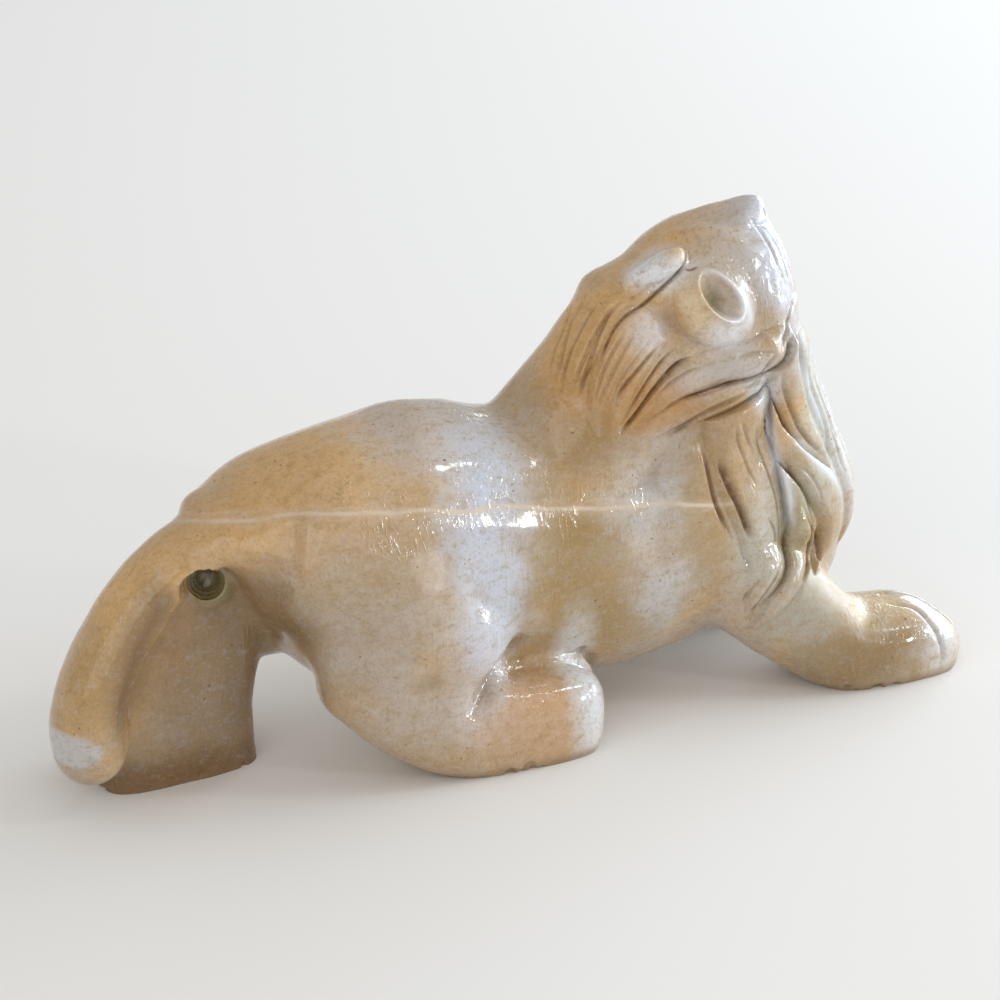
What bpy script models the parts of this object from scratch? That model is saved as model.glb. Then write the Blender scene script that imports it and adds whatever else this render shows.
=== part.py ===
"""A recumbent guardian lion, carved from one piece of veined stone.

The lion looks along +X with its chin up and rests on three feet and the foot
that is stretched back, with +Z up and the floor at zero. Pose, proportions
and carving are shares of the figure's length, given in carver's units; the
finished form is then scaled to LENGTH. Near means the -Y side.
"""
import math

import bmesh
import bpy
import numpy as np
from mathutils import Matrix, Vector
from mathutils.bvhtree import BVHTree

# Driving dimensions in metres
LENGTH = 0.108
DRILL_DIAMETER = 0.0034
DRILL_DEPTH = 0.0040

# The form is worked in carver's units, about a millimetre each, and sized at the end
SKIN_GRAIN = 0.8
SOFTEN_PASSES = 8
POLISH_PASSES = 3
FACE_COUNT = 9400

HEAD_CENTRE = (20.0, 0.0, 47.0)
HEAD_TURN = 20.0
HEAD_PITCH = 22.0
HEAD_TILT = 11.0
FAR_EAR_DROP = 0.9

RING_POINTS = 28
CURVE_STEPS = 6
CAP_ANGLES = (20, 40, 60, 78)
SIDES = (-1, 1)

ROUTE_STEPS = 8
LOCK_ROOT = 0.12
LOCK_TIP = 3.0
LOCK_BEVEL = 1.1
STRAND_DEPTH = 0.5
STRAND_WIDTH = 0.45
NECK_FOOT = 24.0
NECK_TOP = 42.0
HOLLOW_CENTRE = (2.5, -1.2)
HOLLOW_RADII = (2.0, 3.1)
HOLLOW_LEAN = 0.2
HOLLOW_DEPTH = 1.4
HOLLOW_RIM = 0.3
TOE_PITCH = 3.8
PIT_PLACE = (-38.2, -1.0, 23.5)
PIT_DIRECTION = (0.43, 0.85, -0.05)
PIT_SIDES = 20

STONE_COLOUR = (0.56, 0.47, 0.36, 1.0)
STONE_ROUGHNESS = 0.22


def clear_scene():
    """Remove every object that the file holds."""
    for obj in list(bpy.data.objects):
        bpy.data.objects.remove(obj)


def smooth_curve(points, steps=CURVE_STEPS):
    """Pass a smooth curve through rows of numbers."""
    rows = np.asarray(points, float)
    rows = np.vstack([2 * rows[0] - rows[1], rows, 2 * rows[-1] - rows[-2]])
    out = []
    for a, b, c, d in zip(rows, rows[1:], rows[2:], rows[3:]):
        for t in np.linspace(0, 1, steps, endpoint=False):
            bend = (2 * a - 5 * b + 4 * c - d) * t ** 2 + (3 * b - a - 3 * c + d) * t ** 3
            out.append(b + 0.5 * ((c - a) * t + bend))
    out.append(rows[-2])
    return np.array(out)


def section(bm, centre, along, half_width, half_height, square):
    """Add one closed ring of points across a limb."""
    side = np.array([0.0, 1.0, 0.0]) - along * along[1]
    side /= np.linalg.norm(side)
    up = np.cross(along, side)
    ring = []
    for k in range(RING_POINTS):
        angle = 2 * math.pi * k / RING_POINTS
        across = math.copysign(abs(math.cos(angle)) ** (2 / square), math.cos(angle))
        rise = math.copysign(abs(math.sin(angle)) ** (2 / square), math.sin(angle))
        ring.append(bm.verts.new(centre + side * half_width * across + up * half_height * rise))
    return ring


def limb(bm, sections, square=2.0, blunt=1.0):
    """Loft a limb with domed ends through (x, y, z, half width, half height)."""
    rows = smooth_curve(sections)
    centres = rows[:, :3]
    along = np.gradient(centres, axis=0)
    along /= np.linalg.norm(along, axis=1)[:, None]
    rings = []

    def cap(row, direction, angles):
        reach = min(row[3], row[4]) * blunt
        for degrees in angles:
            a = math.radians(degrees)
            centre = row[:3] + direction * reach * math.sin(a)
            rings.append((centre, row[3] * math.cos(a), row[4] * math.cos(a), direction))
        return row[:3] + direction * reach

    first_tip = cap(rows[0], -along[0], reversed(CAP_ANGLES))
    for row, direction in zip(rows, along):
        rings.append((row[:3], row[3], row[4], direction))
    last_tip = cap(rows[-1], along[-1], CAP_ANGLES)
    start = len(CAP_ANGLES)
    loops = []
    for i, (centre, width, height, direction) in enumerate(rings):
        direction = along[0] if i < start else direction
        loops.append(section(bm, centre, direction, width, height, square))
    first, last = bm.verts.new(first_tip), bm.verts.new(last_tip)
    for a, b in zip(loops, loops[1:]):
        for k in range(RING_POINTS):
            n = (k + 1) % RING_POINTS
            bm.faces.new((a[k], a[n], b[n], b[k]))
    for k in range(RING_POINTS):
        n = (k + 1) % RING_POINTS
        bm.faces.new((first, loops[0][n], loops[0][k]))
        bm.faces.new((last, loops[-1][k], loops[-1][n]))
    return [first, last] + [vert for loop in loops for vert in loop]


def head_place():
    """Return the matrix from the head's own frame (front, left, up) to the figure's."""
    turn = Matrix.Rotation(math.radians(-HEAD_TURN), 4, "Z")
    pitch = Matrix.Rotation(math.radians(-HEAD_PITCH), 4, "Y")
    tilt = Matrix.Rotation(math.radians(-HEAD_TILT), 4, "X")
    return Matrix.Translation(HEAD_CENTRE) @ turn @ pitch @ tilt


def egg(bm, centre, radii, pitch=0.0, yaw=0.0):
    """Add an egg-shaped mass, nose up by pitch and turned by yaw degrees."""
    turn = Matrix.Rotation(math.radians(yaw), 4, "Z") @ Matrix.Rotation(math.radians(-pitch), 4, "Y")
    place = Matrix.Translation(centre) @ turn @ Matrix.Diagonal((*radii, 1.0))
    return bmesh.ops.create_uvsphere(bm, u_segments=32, v_segments=20, radius=1.0, matrix=place)["verts"]


def body(bm):
    """Torso with a slightly hollow back, neck, throat and chest."""
    limb(bm, [(-36, 0.6, 29.2, 7.2, 3.7), (-31, 0.8, 28, 11, 8.5), (-26, 0, 26.6, 12.8, 12.1),
              (-20, 0, 24.1, 13.4, 15.8), (-12, 0, 21.9, 13.3, 16.8), (-3, 0, 20.5, 13, 15.8),
              (10, 0, 19.6, 12.8, 16.6), (22, 0, 21, 12, 15.5), (29, 0, 22, 9.5, 12.5)])
    limb(bm, [(5, 0, 27, 11, 11.6), (11.6, -0.3, 35.6, 9.6, 10.6), (16, -0.5, 42.8, 8.5, 9.6)])
    limb(bm, [(14, -0.5, 39, 9, 7.6), (24, -1, 37, 9.2, 8)])
    limb(bm, [(29.8, 0, 14, 9.5, 11.2), (29.7, 0, 19.5, 11.2, 11.8), (28.4, -0.5, 28, 10.4, 9.4),
              (27, -1, 35, 9, 8)])
    egg(bm, (20, -0.5, 35), (9.5, 10.6, 8.5))
    egg(bm, (17, 0, 28.6), (11, 12, 10))
    egg(bm, (11.8, -0.8, 46.9), (4.4, 6.6, 3.6))


def head(bm):
    """Raised head with a blunt upright face, bulging eyes and short ears."""
    verts = egg(bm, (2.1, 0, 0), (10, 8.3, 7.7))
    verts += limb(bm, [(7.2, 0, 3.4, 5.4, 4.6), (7.4, 0, -1, 6.8, 5), (6.6, 0.6, -5.5, 7.4, 5),
                       (5.4, 1.6, -10, 7.6, 4.8), (4.4, 2.8, -15, 7.6, 4.8)])
    verts += egg(bm, (9.8, 0, 5.2), (2.5, 2.8, 1.9))
    for s in SIDES:
        verts += egg(bm, (-2.2, s * 4.0, -0.8), (6.6, 4.8, 6))
        verts += egg(bm, (1.5, s * 3.8, -7), (6.5, 4.6, 5))
        verts += egg(bm, (1.2, s * 6.6, -1.8), (6, 3.4, 5.5), yaw=-s * 20)
        low = FAR_EAR_DROP if s > 0 else 0
        verts += limb(bm, [(-4.6, s * 6.6, 3.5 - low, 1.4, 1.4), (-2.8, s * 7.4, 4.2 - low, 1.7, 1.7),
                           (-0.3, s * 7.7, 4.9 - low, 1.8, 1.7)])
    bmesh.ops.transform(bm, matrix=head_place(), verts=verts)


def near_hind_leg(bm):
    """Folded thigh with the foot drawn forward under it."""
    egg(bm, (-17.8, -6.2, 19.4), (14.6, 9.2, 9.9), pitch=-50)
    egg(bm, (-14, -9.4, 15.6), (8, 6, 7.2), pitch=-70)
    egg(bm, (-20, -7.6, 15.6), (9.2, 7.2, 7.6))
    limb(bm, [(-25, -8.6, 13, 4.6, 4.8), (-18.5, -9.4, 8.2, 5.8, 5.8), (-12, -9.7, 5, 6.3, 6),
              (-5, -9.8, 4, 6.6, 6), (0.5, -9.8, 3.8, 6.4, 6)], square=3.4, blunt=0.65)


def far_hind_leg(bm):
    """Thigh and lower leg stretched back, with the foot set down as a block."""
    egg(bm, (-28, 6.2, 21), (12.5, 7.3, 11), pitch=15)
    limb(bm, [(-34.5, 5.3, 23, 6.3, 5), (-38, 5.3, 16.5, 6.3, 7.4), (-40.6, 5.3, 9, 6.3, 8.6),
              (-41.2, 5.3, 4, 6.3, 9.1), (-41.2, 5.3, -3, 6.3, 9.3)], square=4.5)


def tail(bm):
    """Thick tail laid down the back of the stretched leg, widest at its tip."""
    limb(bm, [(-35, 0, 29.4, 4.8, 3.1), (-41.9, -0.4, 26.8, 4.8, 3.2), (-47.2, -0.5, 21.6, 4.9, 3.5),
              (-50.8, -0.5, 15.6, 4.9, 3.8), (-52.5, -0.5, 9.8, 4.9, 4.1), (-52.4, -0.5, 6.8, 4.6, 4.1)])


def front_legs(bm):
    """Forearms laid forward, the far one a little behind the near one."""
    limb(bm, [(22, -7.5, 14.8, 5.5, 5.8), (28.5, -9.2, 9.6, 6, 6.1), (35, -11, 4.2, 6.3, 5.3),
              (40, -11.6, 3.4, 6.5, 5.1), (43.5, -11.6, 3, 6.4, 5.1), (46.2, -11.5, 1.9, 6.2, 4.5)], square=2.6)
    limb(bm, [(20, 7.5, 14, 5.5, 6.2), (25, 8.6, 8.6, 5.6, 6), (30, 9.4, 4.4, 5.6, 5.2),
              (35, 9.8, 3.4, 5.7, 5.2), (39.5, 10, 2.4, 5.6, 4.8)], square=2.5)


def evaluated_copy(obj, name):
    """Return the object's mesh with its modifiers applied."""
    graph = bpy.context.evaluated_depsgraph_get()
    mesh = bpy.data.meshes.new_from_object(obj.evaluated_get(graph))
    mesh.name = name
    return mesh


def rough_skin():
    """Join the masses under one soft skin, fine enough to carve."""
    bm = bmesh.new()
    for mass in (body, head, near_hind_leg, far_hind_leg, tail, front_legs):
        mass(bm)
    mesh = bpy.data.meshes.new("rough")
    bm.to_mesh(mesh)
    bm.free()
    obj = bpy.data.objects.new("lion", mesh)
    bpy.context.collection.objects.link(obj)
    skin = obj.modifiers.new("skin", "REMESH")
    skin.mode = "VOXEL"
    skin.voxel_size = SKIN_GRAIN
    soften = obj.modifiers.new("soften", "SMOOTH")
    soften.factor = 0.5
    soften.iterations = SOFTEN_PASSES
    refine = obj.modifiers.new("refine", "SUBSURF")
    refine.levels = refine.render_levels = 1
    mesh = evaluated_copy(obj, "skin")
    obj.modifiers.clear()
    obj.data = mesh
    return obj


class Stone:
    """The skin's points and normals, and the height carved on each point."""

    def __init__(self, mesh):
        """Read the skin."""
        count = len(mesh.vertices)
        self.mesh = mesh
        self.points = np.empty(count * 3)
        self.normals = np.empty(count * 3)
        mesh.vertices.foreach_get("co", self.points)
        mesh.vertices.foreach_get("normal", self.normals)
        self.points = self.points.reshape(-1, 3)
        self.normals = self.normals.reshape(-1, 3)
        self.height = np.zeros(count)
        self.locks = np.zeros(count)
        polygons = [tuple(p.vertices) for p in mesh.polygons]
        self.tree = BVHTree.FromPolygons([Vector(p) for p in self.points], polygons)

    def route(self, points):
        """Lay a smooth line through the points on to the skin."""
        rows = smooth_curve(points, ROUTE_STEPS)
        return np.array([self.tree.find_nearest(Vector(row))[0] for row in rows])

    def near(self, line, reach):
        """Measure the points that lie within reach of a line.

        Returns their indices, their share along the line and their signed
        distance across it.
        """
        low, high = line.min(0) - reach, line.max(0) + reach
        picked = np.flatnonzero(((self.points > low) & (self.points < high)).all(1))
        co, normal = self.points[picked], self.normals[picked]
        lengths = np.linalg.norm(np.diff(line, axis=0), axis=1)
        starts = np.concatenate([[0], np.cumsum(lengths)])
        best = np.full(len(picked), np.inf)
        share = np.zeros(len(picked))
        across = np.zeros(len(picked))
        for start, end, length, before in zip(line, line[1:], lengths, starts):
            step = (end - start) / length
            along = np.clip((co - start) @ step, 0, length)
            offset = co - start - along[:, None] * step
            distance = np.linalg.norm(offset, axis=1)
            closer = distance < best
            best[closer] = distance[closer]
            share[closer] = (before + along[closer]) / starts[-1]
            side = np.einsum("ij,ij->i", np.cross(step, normal[closer]), offset[closer])
            across[closer] = np.where(side < 0, -1, 1) * distance[closer]
        kept = best < reach
        return picked[kept], share[kept], across[kept]

    def lock(self, points, half_width, rise, strands):
        """Lay a tapering ribbon of hair over what is there, with incised strands."""
        picked, share, across = self.near(self.route(points), half_width * 1.05)
        taper = np.clip(share / LOCK_ROOT, 0, 1) ** 0.5 * (1 - share ** LOCK_TIP) ** 0.7
        width = half_width * np.maximum(taper, 0.05)
        inside = np.abs(across) < width
        picked, share, across, width = picked[inside], share[inside], across[inside], width[inside]
        lift = np.clip(share / LOCK_ROOT, 0, 1) * (1 - 0.5 * share ** 3)
        bevel = np.clip((width - np.abs(across)) / LOCK_BEVEL, 0, 1)
        ribbon = rise * lift * (1 - (1 - bevel) ** 2) * (1 - 0.25 * (across / width) ** 2)
        for k in range(strands):
            middle = width * (2 * (k + 1) / (strands + 1) - 1)
            ends = np.clip((share - 0.1) / 0.15, 0, 1) * np.clip((0.95 - share) / 0.3, 0, 1)
            ribbon -= STRAND_DEPTH * ends * np.exp(-((across - middle) / STRAND_WIDTH) ** 2)
        laid = np.clip(share / LOCK_ROOT * 2, 0, 1)
        self.locks[picked] += laid * (ribbon - self.locks[picked])

    def cut(self, points, half_width, depth, taper=0.25):
        """Incise a rounded groove, or raise a ridge where depth is negative."""
        picked, share, across = self.near(self.route(points), half_width * 2)
        ends = np.clip(np.minimum(share, 1 - share) / taper, 0, 1) ** 0.7
        self.height[picked] -= depth * ends * np.exp(-(across / half_width) ** 2 * 1.5)

    def carve(self):
        """Move the skin's points out by the heights of the locks and cuts."""
        self.points += self.normals * (self.height + self.locks)[:, None]
        self.mesh.vertices.foreach_set("co", self.points.ravel())
        self.mesh.update()


# The near side's hair. Each lock: points along it, half width, rise and strands
CHEST_LOCKS = (
    (((32.6, -4.8, 43), (35.6, -4, 36), (38.6, -3.4, 29), (41, -3, 21), (40.4, -2, 13), (37.6, -1, 7)), 2.8, 1.0, 1),
    (((30.6, -8.4, 44.6), (33, -8.2, 37.4), (36, -7.2, 29.6), (38.2, -7, 22), (37.6, -6, 14)), 2.4, 1.0, 1),
    (((23.8, -10.6, 39), (25.8, -10.8, 30), (28.2, -11.5, 22.4), (28.4, -11.3, 17), (25.4, -13, 12.6),
      (22, -13.3, 9.4)), 2.7, 1.3, 1),
    (((24.6, -11.4, 39), (27.4, -11.6, 32.4), (31, -11.2, 27.4), (34, -10.6, 21.6), (33.8, -9.9, 16),
      (30, -11.5, 12.6)), 2.8, 1.5, 1),
    (((27.4, -10.4, 45.4), (27.2, -11.6, 40.6), (28.2, -11.6, 36.6), (30, -11.2, 32.6), (32.4, -10.6, 29),
      (35.2, -10, 25.4)), 2.3, 1.5, 0),
    (((21, -10.4, 40.4), (20.9, -10.2, 30), (22.7, -11.3, 22), (23.2, -12.3, 17), (21.2, -13, 12.6)), 3.3, 1.4, 2),
)
CHEEK_LOCKS = (
    (((25, -11, 39.4), (18.8, -10.2, 37.4), (13, -10, 35.8), (6.4, -10.4, 33.4)), 1.9, 1.1, 0),
    (((16, -9.4, 43.4), (11.6, -9.4, 41), (8.4, -9.6, 38), (6.6, -10.4, 34)), 1.7, 0.9, 0),
    (((12.4, -7.6, 47.9), (9, -7.6, 44.4), (6.4, -8, 41), (5.4, -9, 37.5), (6.2, -10, 33.8)), 2.8, 1.5, 2),
    (((28, -10.6, 44.2), (24.4, -11.2, 41.8), (19.4, -10.4, 41.2), (13, -9.8, 39), (7, -10.4, 34)), 2.3, 1.6, 1),
)
NAPE_STRANDS = (
    ((11.2, -4.6, 50), (6.8, -5, 45), (4.2, -6.5, 40.5), (3.4, -8, 37)),
    ((9.8, -2, 50.4), (5.4, -2.6, 44.8), (2.6, -4, 40.4), (1.4, -5.4, 37.4)),
    ((8.2, 0, 49), (3.1, -0.8, 42.2), (0.2, -1.5, 38.8), (-1, -2, 37.6)),
)


def both_sides(points):
    """Return the points of the near side and the matching ones of the far side.

    Below the neck the sides mirror in the figure, and on the head in the head.
    """
    place = head_place()
    across = place @ Matrix.Diagonal((1, -1, 1, 1)) @ place.inverted()
    far = []
    for x, y, z in points:
        turned = min(max((z - NECK_FOOT) / (NECK_TOP - NECK_FOOT), 0), 1)
        far.append(tuple(Vector((x, -y, z)).lerp(across @ Vector((x, y, z)), turned)))
    return points, far


def comb_mane(stone):
    """Lay the mane: locks of the chest and cheeks, and fine strands down the nape."""
    for points, half_width, rise, strands in CHEST_LOCKS + CHEEK_LOCKS:
        for placed in both_sides(points):
            stone.lock(placed, half_width, rise, strands)
    for points in NAPE_STRANDS:
        for placed in both_sides(points):
            stone.cut(placed, 0.6, 0.55)


def in_figure(points):
    """Carry points from the head's frame to the figure's."""
    place = head_place()
    return [tuple(place @ Vector(p)) for p in points]


def carve_face(stone):
    """Brow, lips, mouth, nostrils, ears and the hollowed eyes."""
    inverse = np.array(head_place().inverted())
    local = stone.points @ inverse[:3, :3].T + inverse[:3, 3]
    for s in SIDES:
        def on_head(*points):
            return in_figure([(f, -s * side, u) for f, side, u in points])

        stone.cut(on_head((-0.8, -4, 6.9), (4.4, -5.1, 6.1), (7.2, -5.9, 3.8), (9, -5.6, 0.5)), 1.4, -0.6)
        stone.cut(on_head((-5.4, -8, 2), (-2.6, -9, 2.5), (0.4, -8.8, 3), (1.9, -8, 5)), 0.6, 0.6)
        stone.cut(on_head((-4.4, -9.6, -0.6), (-4, -9.6, -4.4), (-0.6, -8.6, -7.4), (3, -7.8, -8)), 0.9, 0.4)
        stone.cut(on_head((10.4, -3.6, 4.3), (10.4, -5.2, -1.6), (10.2, -5.4, -5.4)), 0.7, 0.45)
        stone.cut(on_head((11.9, 0, -5.2), (11.2, -3, -4.9), (9.5, -6, -5.9), (6.7, -7.5, -9.4), (5, -8, -12)),
                  0.6, 0.7, 0.1)
        stone.cut(on_head((11.8, -0.9, 4.2), (11.6, -1.7, 4.4)), 0.6, 0.6)
        a = (local[:, 0] - HOLLOW_CENTRE[0]) + HOLLOW_LEAN * (local[:, 2] - HOLLOW_CENTRE[1])
        b = (local[:, 2] - HOLLOW_CENTRE[1]) - HOLLOW_LEAN * (local[:, 0] - HOLLOW_CENTRE[0])
        r = np.sqrt((a / HOLLOW_RADII[0]) ** 2 + (b / HOLLOW_RADII[1]) ** 2)
        facing = local[:, 1] * s > 3
        hollow = facing & (r < 1)
        stone.height[hollow] -= HOLLOW_DEPTH * (1 - r[hollow] ** 2) ** 0.8
        stone.height += np.where(facing, HOLLOW_RIM * np.exp(-((r - 1.25) / 0.2) ** 2), 0)
    stone.cut(in_figure([(12.1, 0, 3), (12.4, 0, -1), (12, 0, -5)]), 0.5, 0.45)


def carve_limbs(stone):
    """Toes, the hollow between knee and foot, and the crease beside the tail."""
    for shift in (0, TOE_PITCH):
        stone.cut([(41.3, -13.4 + shift, 8.4), (45, -14.8 + shift, 7.2), (47.8, -15.4 + shift, 4.6),
                   (48.6, -15.6 + shift, 1)], 0.7, 1.0)
        stone.cut([(34.5, 8 + shift, 8.2), (38.6, 8 + shift, 7.2), (42.4, 8 + shift, 4.6),
                   (44.4, 8 + shift, 1)], 0.7, 0.9)
        stone.cut([(-1, -11.6 + shift, 10), (3, -11.6 + shift, 8.6), (4.8, -11.6 + shift, 4),
                   (4.8, -11.6 + shift, 0.5)], 0.7, 0.7)
    stone.cut([(-5.4, -13.5, 15.8), (-6.6, -13.8, 12), (-9.4, -15, 9.4), (-13.5, -15.8, 7.8)], 1.8, 1.6)
    stone.cut([(-36, -2, 25.6), (-39.6, -1.4, 25.4), (-43, -1.4, 22.8), (-45.8, -1.4, 19), (-47.4, -1.4, 14.6),
               (-48.2, -1.4, 8.6)], 1.0, 1.0)


def polish(obj):
    """Ease the cut edges and thin the triangles to FACE_COUNT, keeping them where it curves."""
    ease = obj.modifiers.new("ease", "SMOOTH")
    ease.factor = 0.5
    ease.iterations = POLISH_PASSES
    triangles = sum(len(polygon.vertices) - 2 for polygon in obj.data.polygons)
    decimate = obj.modifiers.new("thin out", "DECIMATE")
    decimate.ratio = FACE_COUNT / triangles
    mesh = evaluated_copy(obj, "thinned")
    obj.modifiers.clear()
    obj.data = mesh


def set_down(mesh):
    """Cut the feet off flat at the floor and close the cuts."""
    bm = bmesh.new()
    bm.from_mesh(mesh)
    everything = bm.verts[:] + bm.edges[:] + bm.faces[:]
    bmesh.ops.bisect_plane(bm, geom=everything, plane_co=(0, 0, 0), plane_no=(0, 0, -1), clear_outer=True)
    bmesh.ops.holes_fill(bm, edges=[edge for edge in bm.edges if edge.is_boundary])
    bmesh.ops.triangulate(bm, faces=bm.faces[:])
    bm.to_mesh(mesh)
    bm.free()


def size_up(mesh):
    """Scale the figure to LENGTH and centre it over the origin; return the matrix."""
    co = np.empty(len(mesh.vertices) * 3)
    mesh.vertices.foreach_get("co", co)
    low, high = co.reshape(-1, 3).min(0), co.reshape(-1, 3).max(0)
    unit = LENGTH / (high[0] - low[0])
    middle = Vector(((low[0] + high[0]) / 2, (low[1] + high[1]) / 2, 0))
    place = Matrix.Scale(unit, 4) @ Matrix.Translation(-middle)
    mesh.transform(place)
    return place


def drill_pit(obj, place):
    """Sink the carver's blind drilling into the leg beside the tail."""
    tip = place @ Vector(PIT_PLACE)
    inward = Vector(PIT_DIRECTION).normalized()
    reach = DRILL_DEPTH + 3 * DRILL_DIAMETER
    bm = bmesh.new()
    bmesh.ops.create_cone(bm, cap_ends=True, segments=PIT_SIDES, depth=reach,
                          radius1=DRILL_DIAMETER / 2, radius2=DRILL_DIAMETER / 2)
    bmesh.ops.translate(bm, verts=bm.verts[:], vec=(0, 0, DRILL_DEPTH - reach / 2))
    mesh = bpy.data.meshes.new("drill")
    bm.to_mesh(mesh)
    bm.free()
    drill = bpy.data.objects.new("drill", mesh)
    drill.location = tip
    drill.rotation_mode = "QUATERNION"
    drill.rotation_quaternion = inward.to_track_quat("Z", "Y")
    drill.hide_render = True
    drill.display_type = "WIRE"
    bpy.context.collection.objects.link(drill)
    pit = obj.modifiers.new("drilled pit", "BOOLEAN")
    pit.operation = "DIFFERENCE"
    pit.solver = "EXACT"
    pit.object = drill


def stone_material():
    """Polished honey-grey stone."""
    material = bpy.data.materials.new("polished stone")
    material.use_nodes = True
    shader = material.node_tree.nodes["Principled BSDF"]
    shader.inputs["Base Color"].default_value = STONE_COLOUR
    shader.inputs["Roughness"].default_value = STONE_ROUGHNESS
    shader.inputs["Metallic"].default_value = 0.0
    return material


def main():
    """Carve the lion."""
    clear_scene()
    lion = rough_skin()
    stone = Stone(lion.data)
    comb_mane(stone)
    carve_face(stone)
    carve_limbs(stone)
    stone.carve()
    polish(lion)
    set_down(lion.data)
    place = size_up(lion.data)
    drill_pit(lion, place)
    lion.data.materials.append(stone_material())
    lion.data.shade_smooth()
    return lion


if __name__ == "__main__":
    main()
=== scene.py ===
"""Looks of the recumbent stone lion: fine carving, veined polished stone and soft light.

The figure is worked in carver's units, about a millimetre each: +X is the way the
lion lies, +Z is up and the near side is -Y. The finished carving is then laid into
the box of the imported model.
"""
from __future__ import annotations

import logging
import math
from dataclasses import dataclass, field, replace
from enum import Enum
from typing import Any, Mapping, Sequence, Union

import bmesh
import bpy
import numpy as np
from mathutils import Matrix, Vector
from mathutils.bvhtree import BVHTree

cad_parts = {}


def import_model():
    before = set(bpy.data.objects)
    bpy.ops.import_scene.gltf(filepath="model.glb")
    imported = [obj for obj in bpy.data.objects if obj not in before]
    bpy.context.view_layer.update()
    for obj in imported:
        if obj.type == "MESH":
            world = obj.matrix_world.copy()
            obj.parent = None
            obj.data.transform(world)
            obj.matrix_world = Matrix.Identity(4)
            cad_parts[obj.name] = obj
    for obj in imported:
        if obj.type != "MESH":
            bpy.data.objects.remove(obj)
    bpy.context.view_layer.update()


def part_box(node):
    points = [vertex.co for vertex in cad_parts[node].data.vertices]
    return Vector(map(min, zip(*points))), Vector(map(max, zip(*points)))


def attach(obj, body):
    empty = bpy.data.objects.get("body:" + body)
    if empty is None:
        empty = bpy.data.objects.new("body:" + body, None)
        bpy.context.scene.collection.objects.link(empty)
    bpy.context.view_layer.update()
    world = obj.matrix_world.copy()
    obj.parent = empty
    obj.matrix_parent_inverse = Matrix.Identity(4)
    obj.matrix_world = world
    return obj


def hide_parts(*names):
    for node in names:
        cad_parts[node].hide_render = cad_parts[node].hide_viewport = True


LOG = logging.getLogger("lion")

Triple = tuple[float, float, float]
Colour = tuple[float, float, float, float]
Line = Sequence[Triple]
Section = tuple[float, float, float, float, float]

CURVE_STEPS = 6
ROUTE_STEPS = 10
SHORTEST_STEP = 1e-6
EGG_POINTS = (32, 20)
RING_POINTS = 28
CAP_ANGLES = (20, 40, 60, 78)
MILLIMETRES = 1000


class Side(Enum):
    """Which side of the lion a form is on; the value is the sign of Y."""

    NEAR = -1
    FAR = 1


def smooth_curve(points: Sequence[Sequence[float]], steps: int) -> np.ndarray:
    """Pass a smooth curve through rows of numbers.

    Args:
        points: The rows to pass through.
        steps: Pieces between one row and the next.

    Returns:
        The curve's rows.
    """
    rows = np.asarray(points, float)
    rows = np.vstack([2 * rows[0] - rows[1], rows, 2 * rows[-1] - rows[-2]])
    out = []
    for a, b, c, d in zip(rows, rows[1:], rows[2:], rows[3:]):
        for t in np.linspace(0, 1, steps, endpoint=False):
            bend = (2 * a - 5 * b + 4 * c - d) * t**2 + (3 * b - a - 3 * c + d) * t**3
            out.append(b + 0.5 * ((c - a) * t + bend))
    out.append(rows[-2])
    return np.array(out)


def read(items: Any, name: str, width: int = 3, kind: type = float) -> np.ndarray:
    """Read one property of a mesh's points, edges or faces.

    Args:
        items: The points, edges or faces.
        name: The property.
        width: How many numbers make a row.
        kind: What the numbers are.

    Returns:
        Rows of numbers.
    """
    values = np.empty(len(items) * width, kind)
    items.foreach_get(name, values)
    return values.reshape(-1, width)


def close_tube(bm: bmesh.types.BMesh, loops: Sequence[Sequence[Any]], start: Any, end: Any) -> None:
    """Close rings of points into one skin that ends in a point at both ends.

    Args:
        bm: The mesh that holds them.
        loops: The rings in order.
        start: The point before the first ring.
        end: The point after the last.
    """
    turn = [(k, (k + 1) % len(loops[0])) for k in range(len(loops[0]))]
    for a, b in zip(loops, loops[1:]):
        for k, n in turn:
            bm.faces.new((a[k], a[n], b[n], b[k]))
    for k, n in turn:
        bm.faces.new((start, loops[0][n], loops[0][k]))
        bm.faces.new((end, loops[-1][k], loops[-1][n]))


# Masses


@dataclass(frozen=True)
class Egg:
    """An egg-shaped mass, nose up by pitch and turned by yaw degrees."""

    centre: Triple
    radii: Triple
    pitch: float = 0.0
    yaw: float = 0.0

    def add(self, bm: bmesh.types.BMesh) -> list[bmesh.types.BMVert]:
        """Add the mass.

        Args:
            bm: The mesh that takes it.

        Returns:
            Its points.
        """
        yaw = Matrix.Rotation(math.radians(self.yaw), 4, "Z")
        turn = yaw @ Matrix.Rotation(math.radians(-self.pitch), 4, "Y")
        place = Matrix.Translation(self.centre) @ turn @ Matrix.Diagonal((*self.radii, 1.0))
        around, along = EGG_POINTS
        made = bmesh.ops.create_uvsphere(bm, u_segments=around, v_segments=along, radius=1.0, matrix=place)
        return made["verts"]

    def on(self, side: Side) -> "Egg":
        """Return the same egg on one side of the middle; it is written for the far one."""
        x, y, z = self.centre
        return replace(self, centre=(x, side.value * y, z), yaw=side.value * self.yaw)


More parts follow.
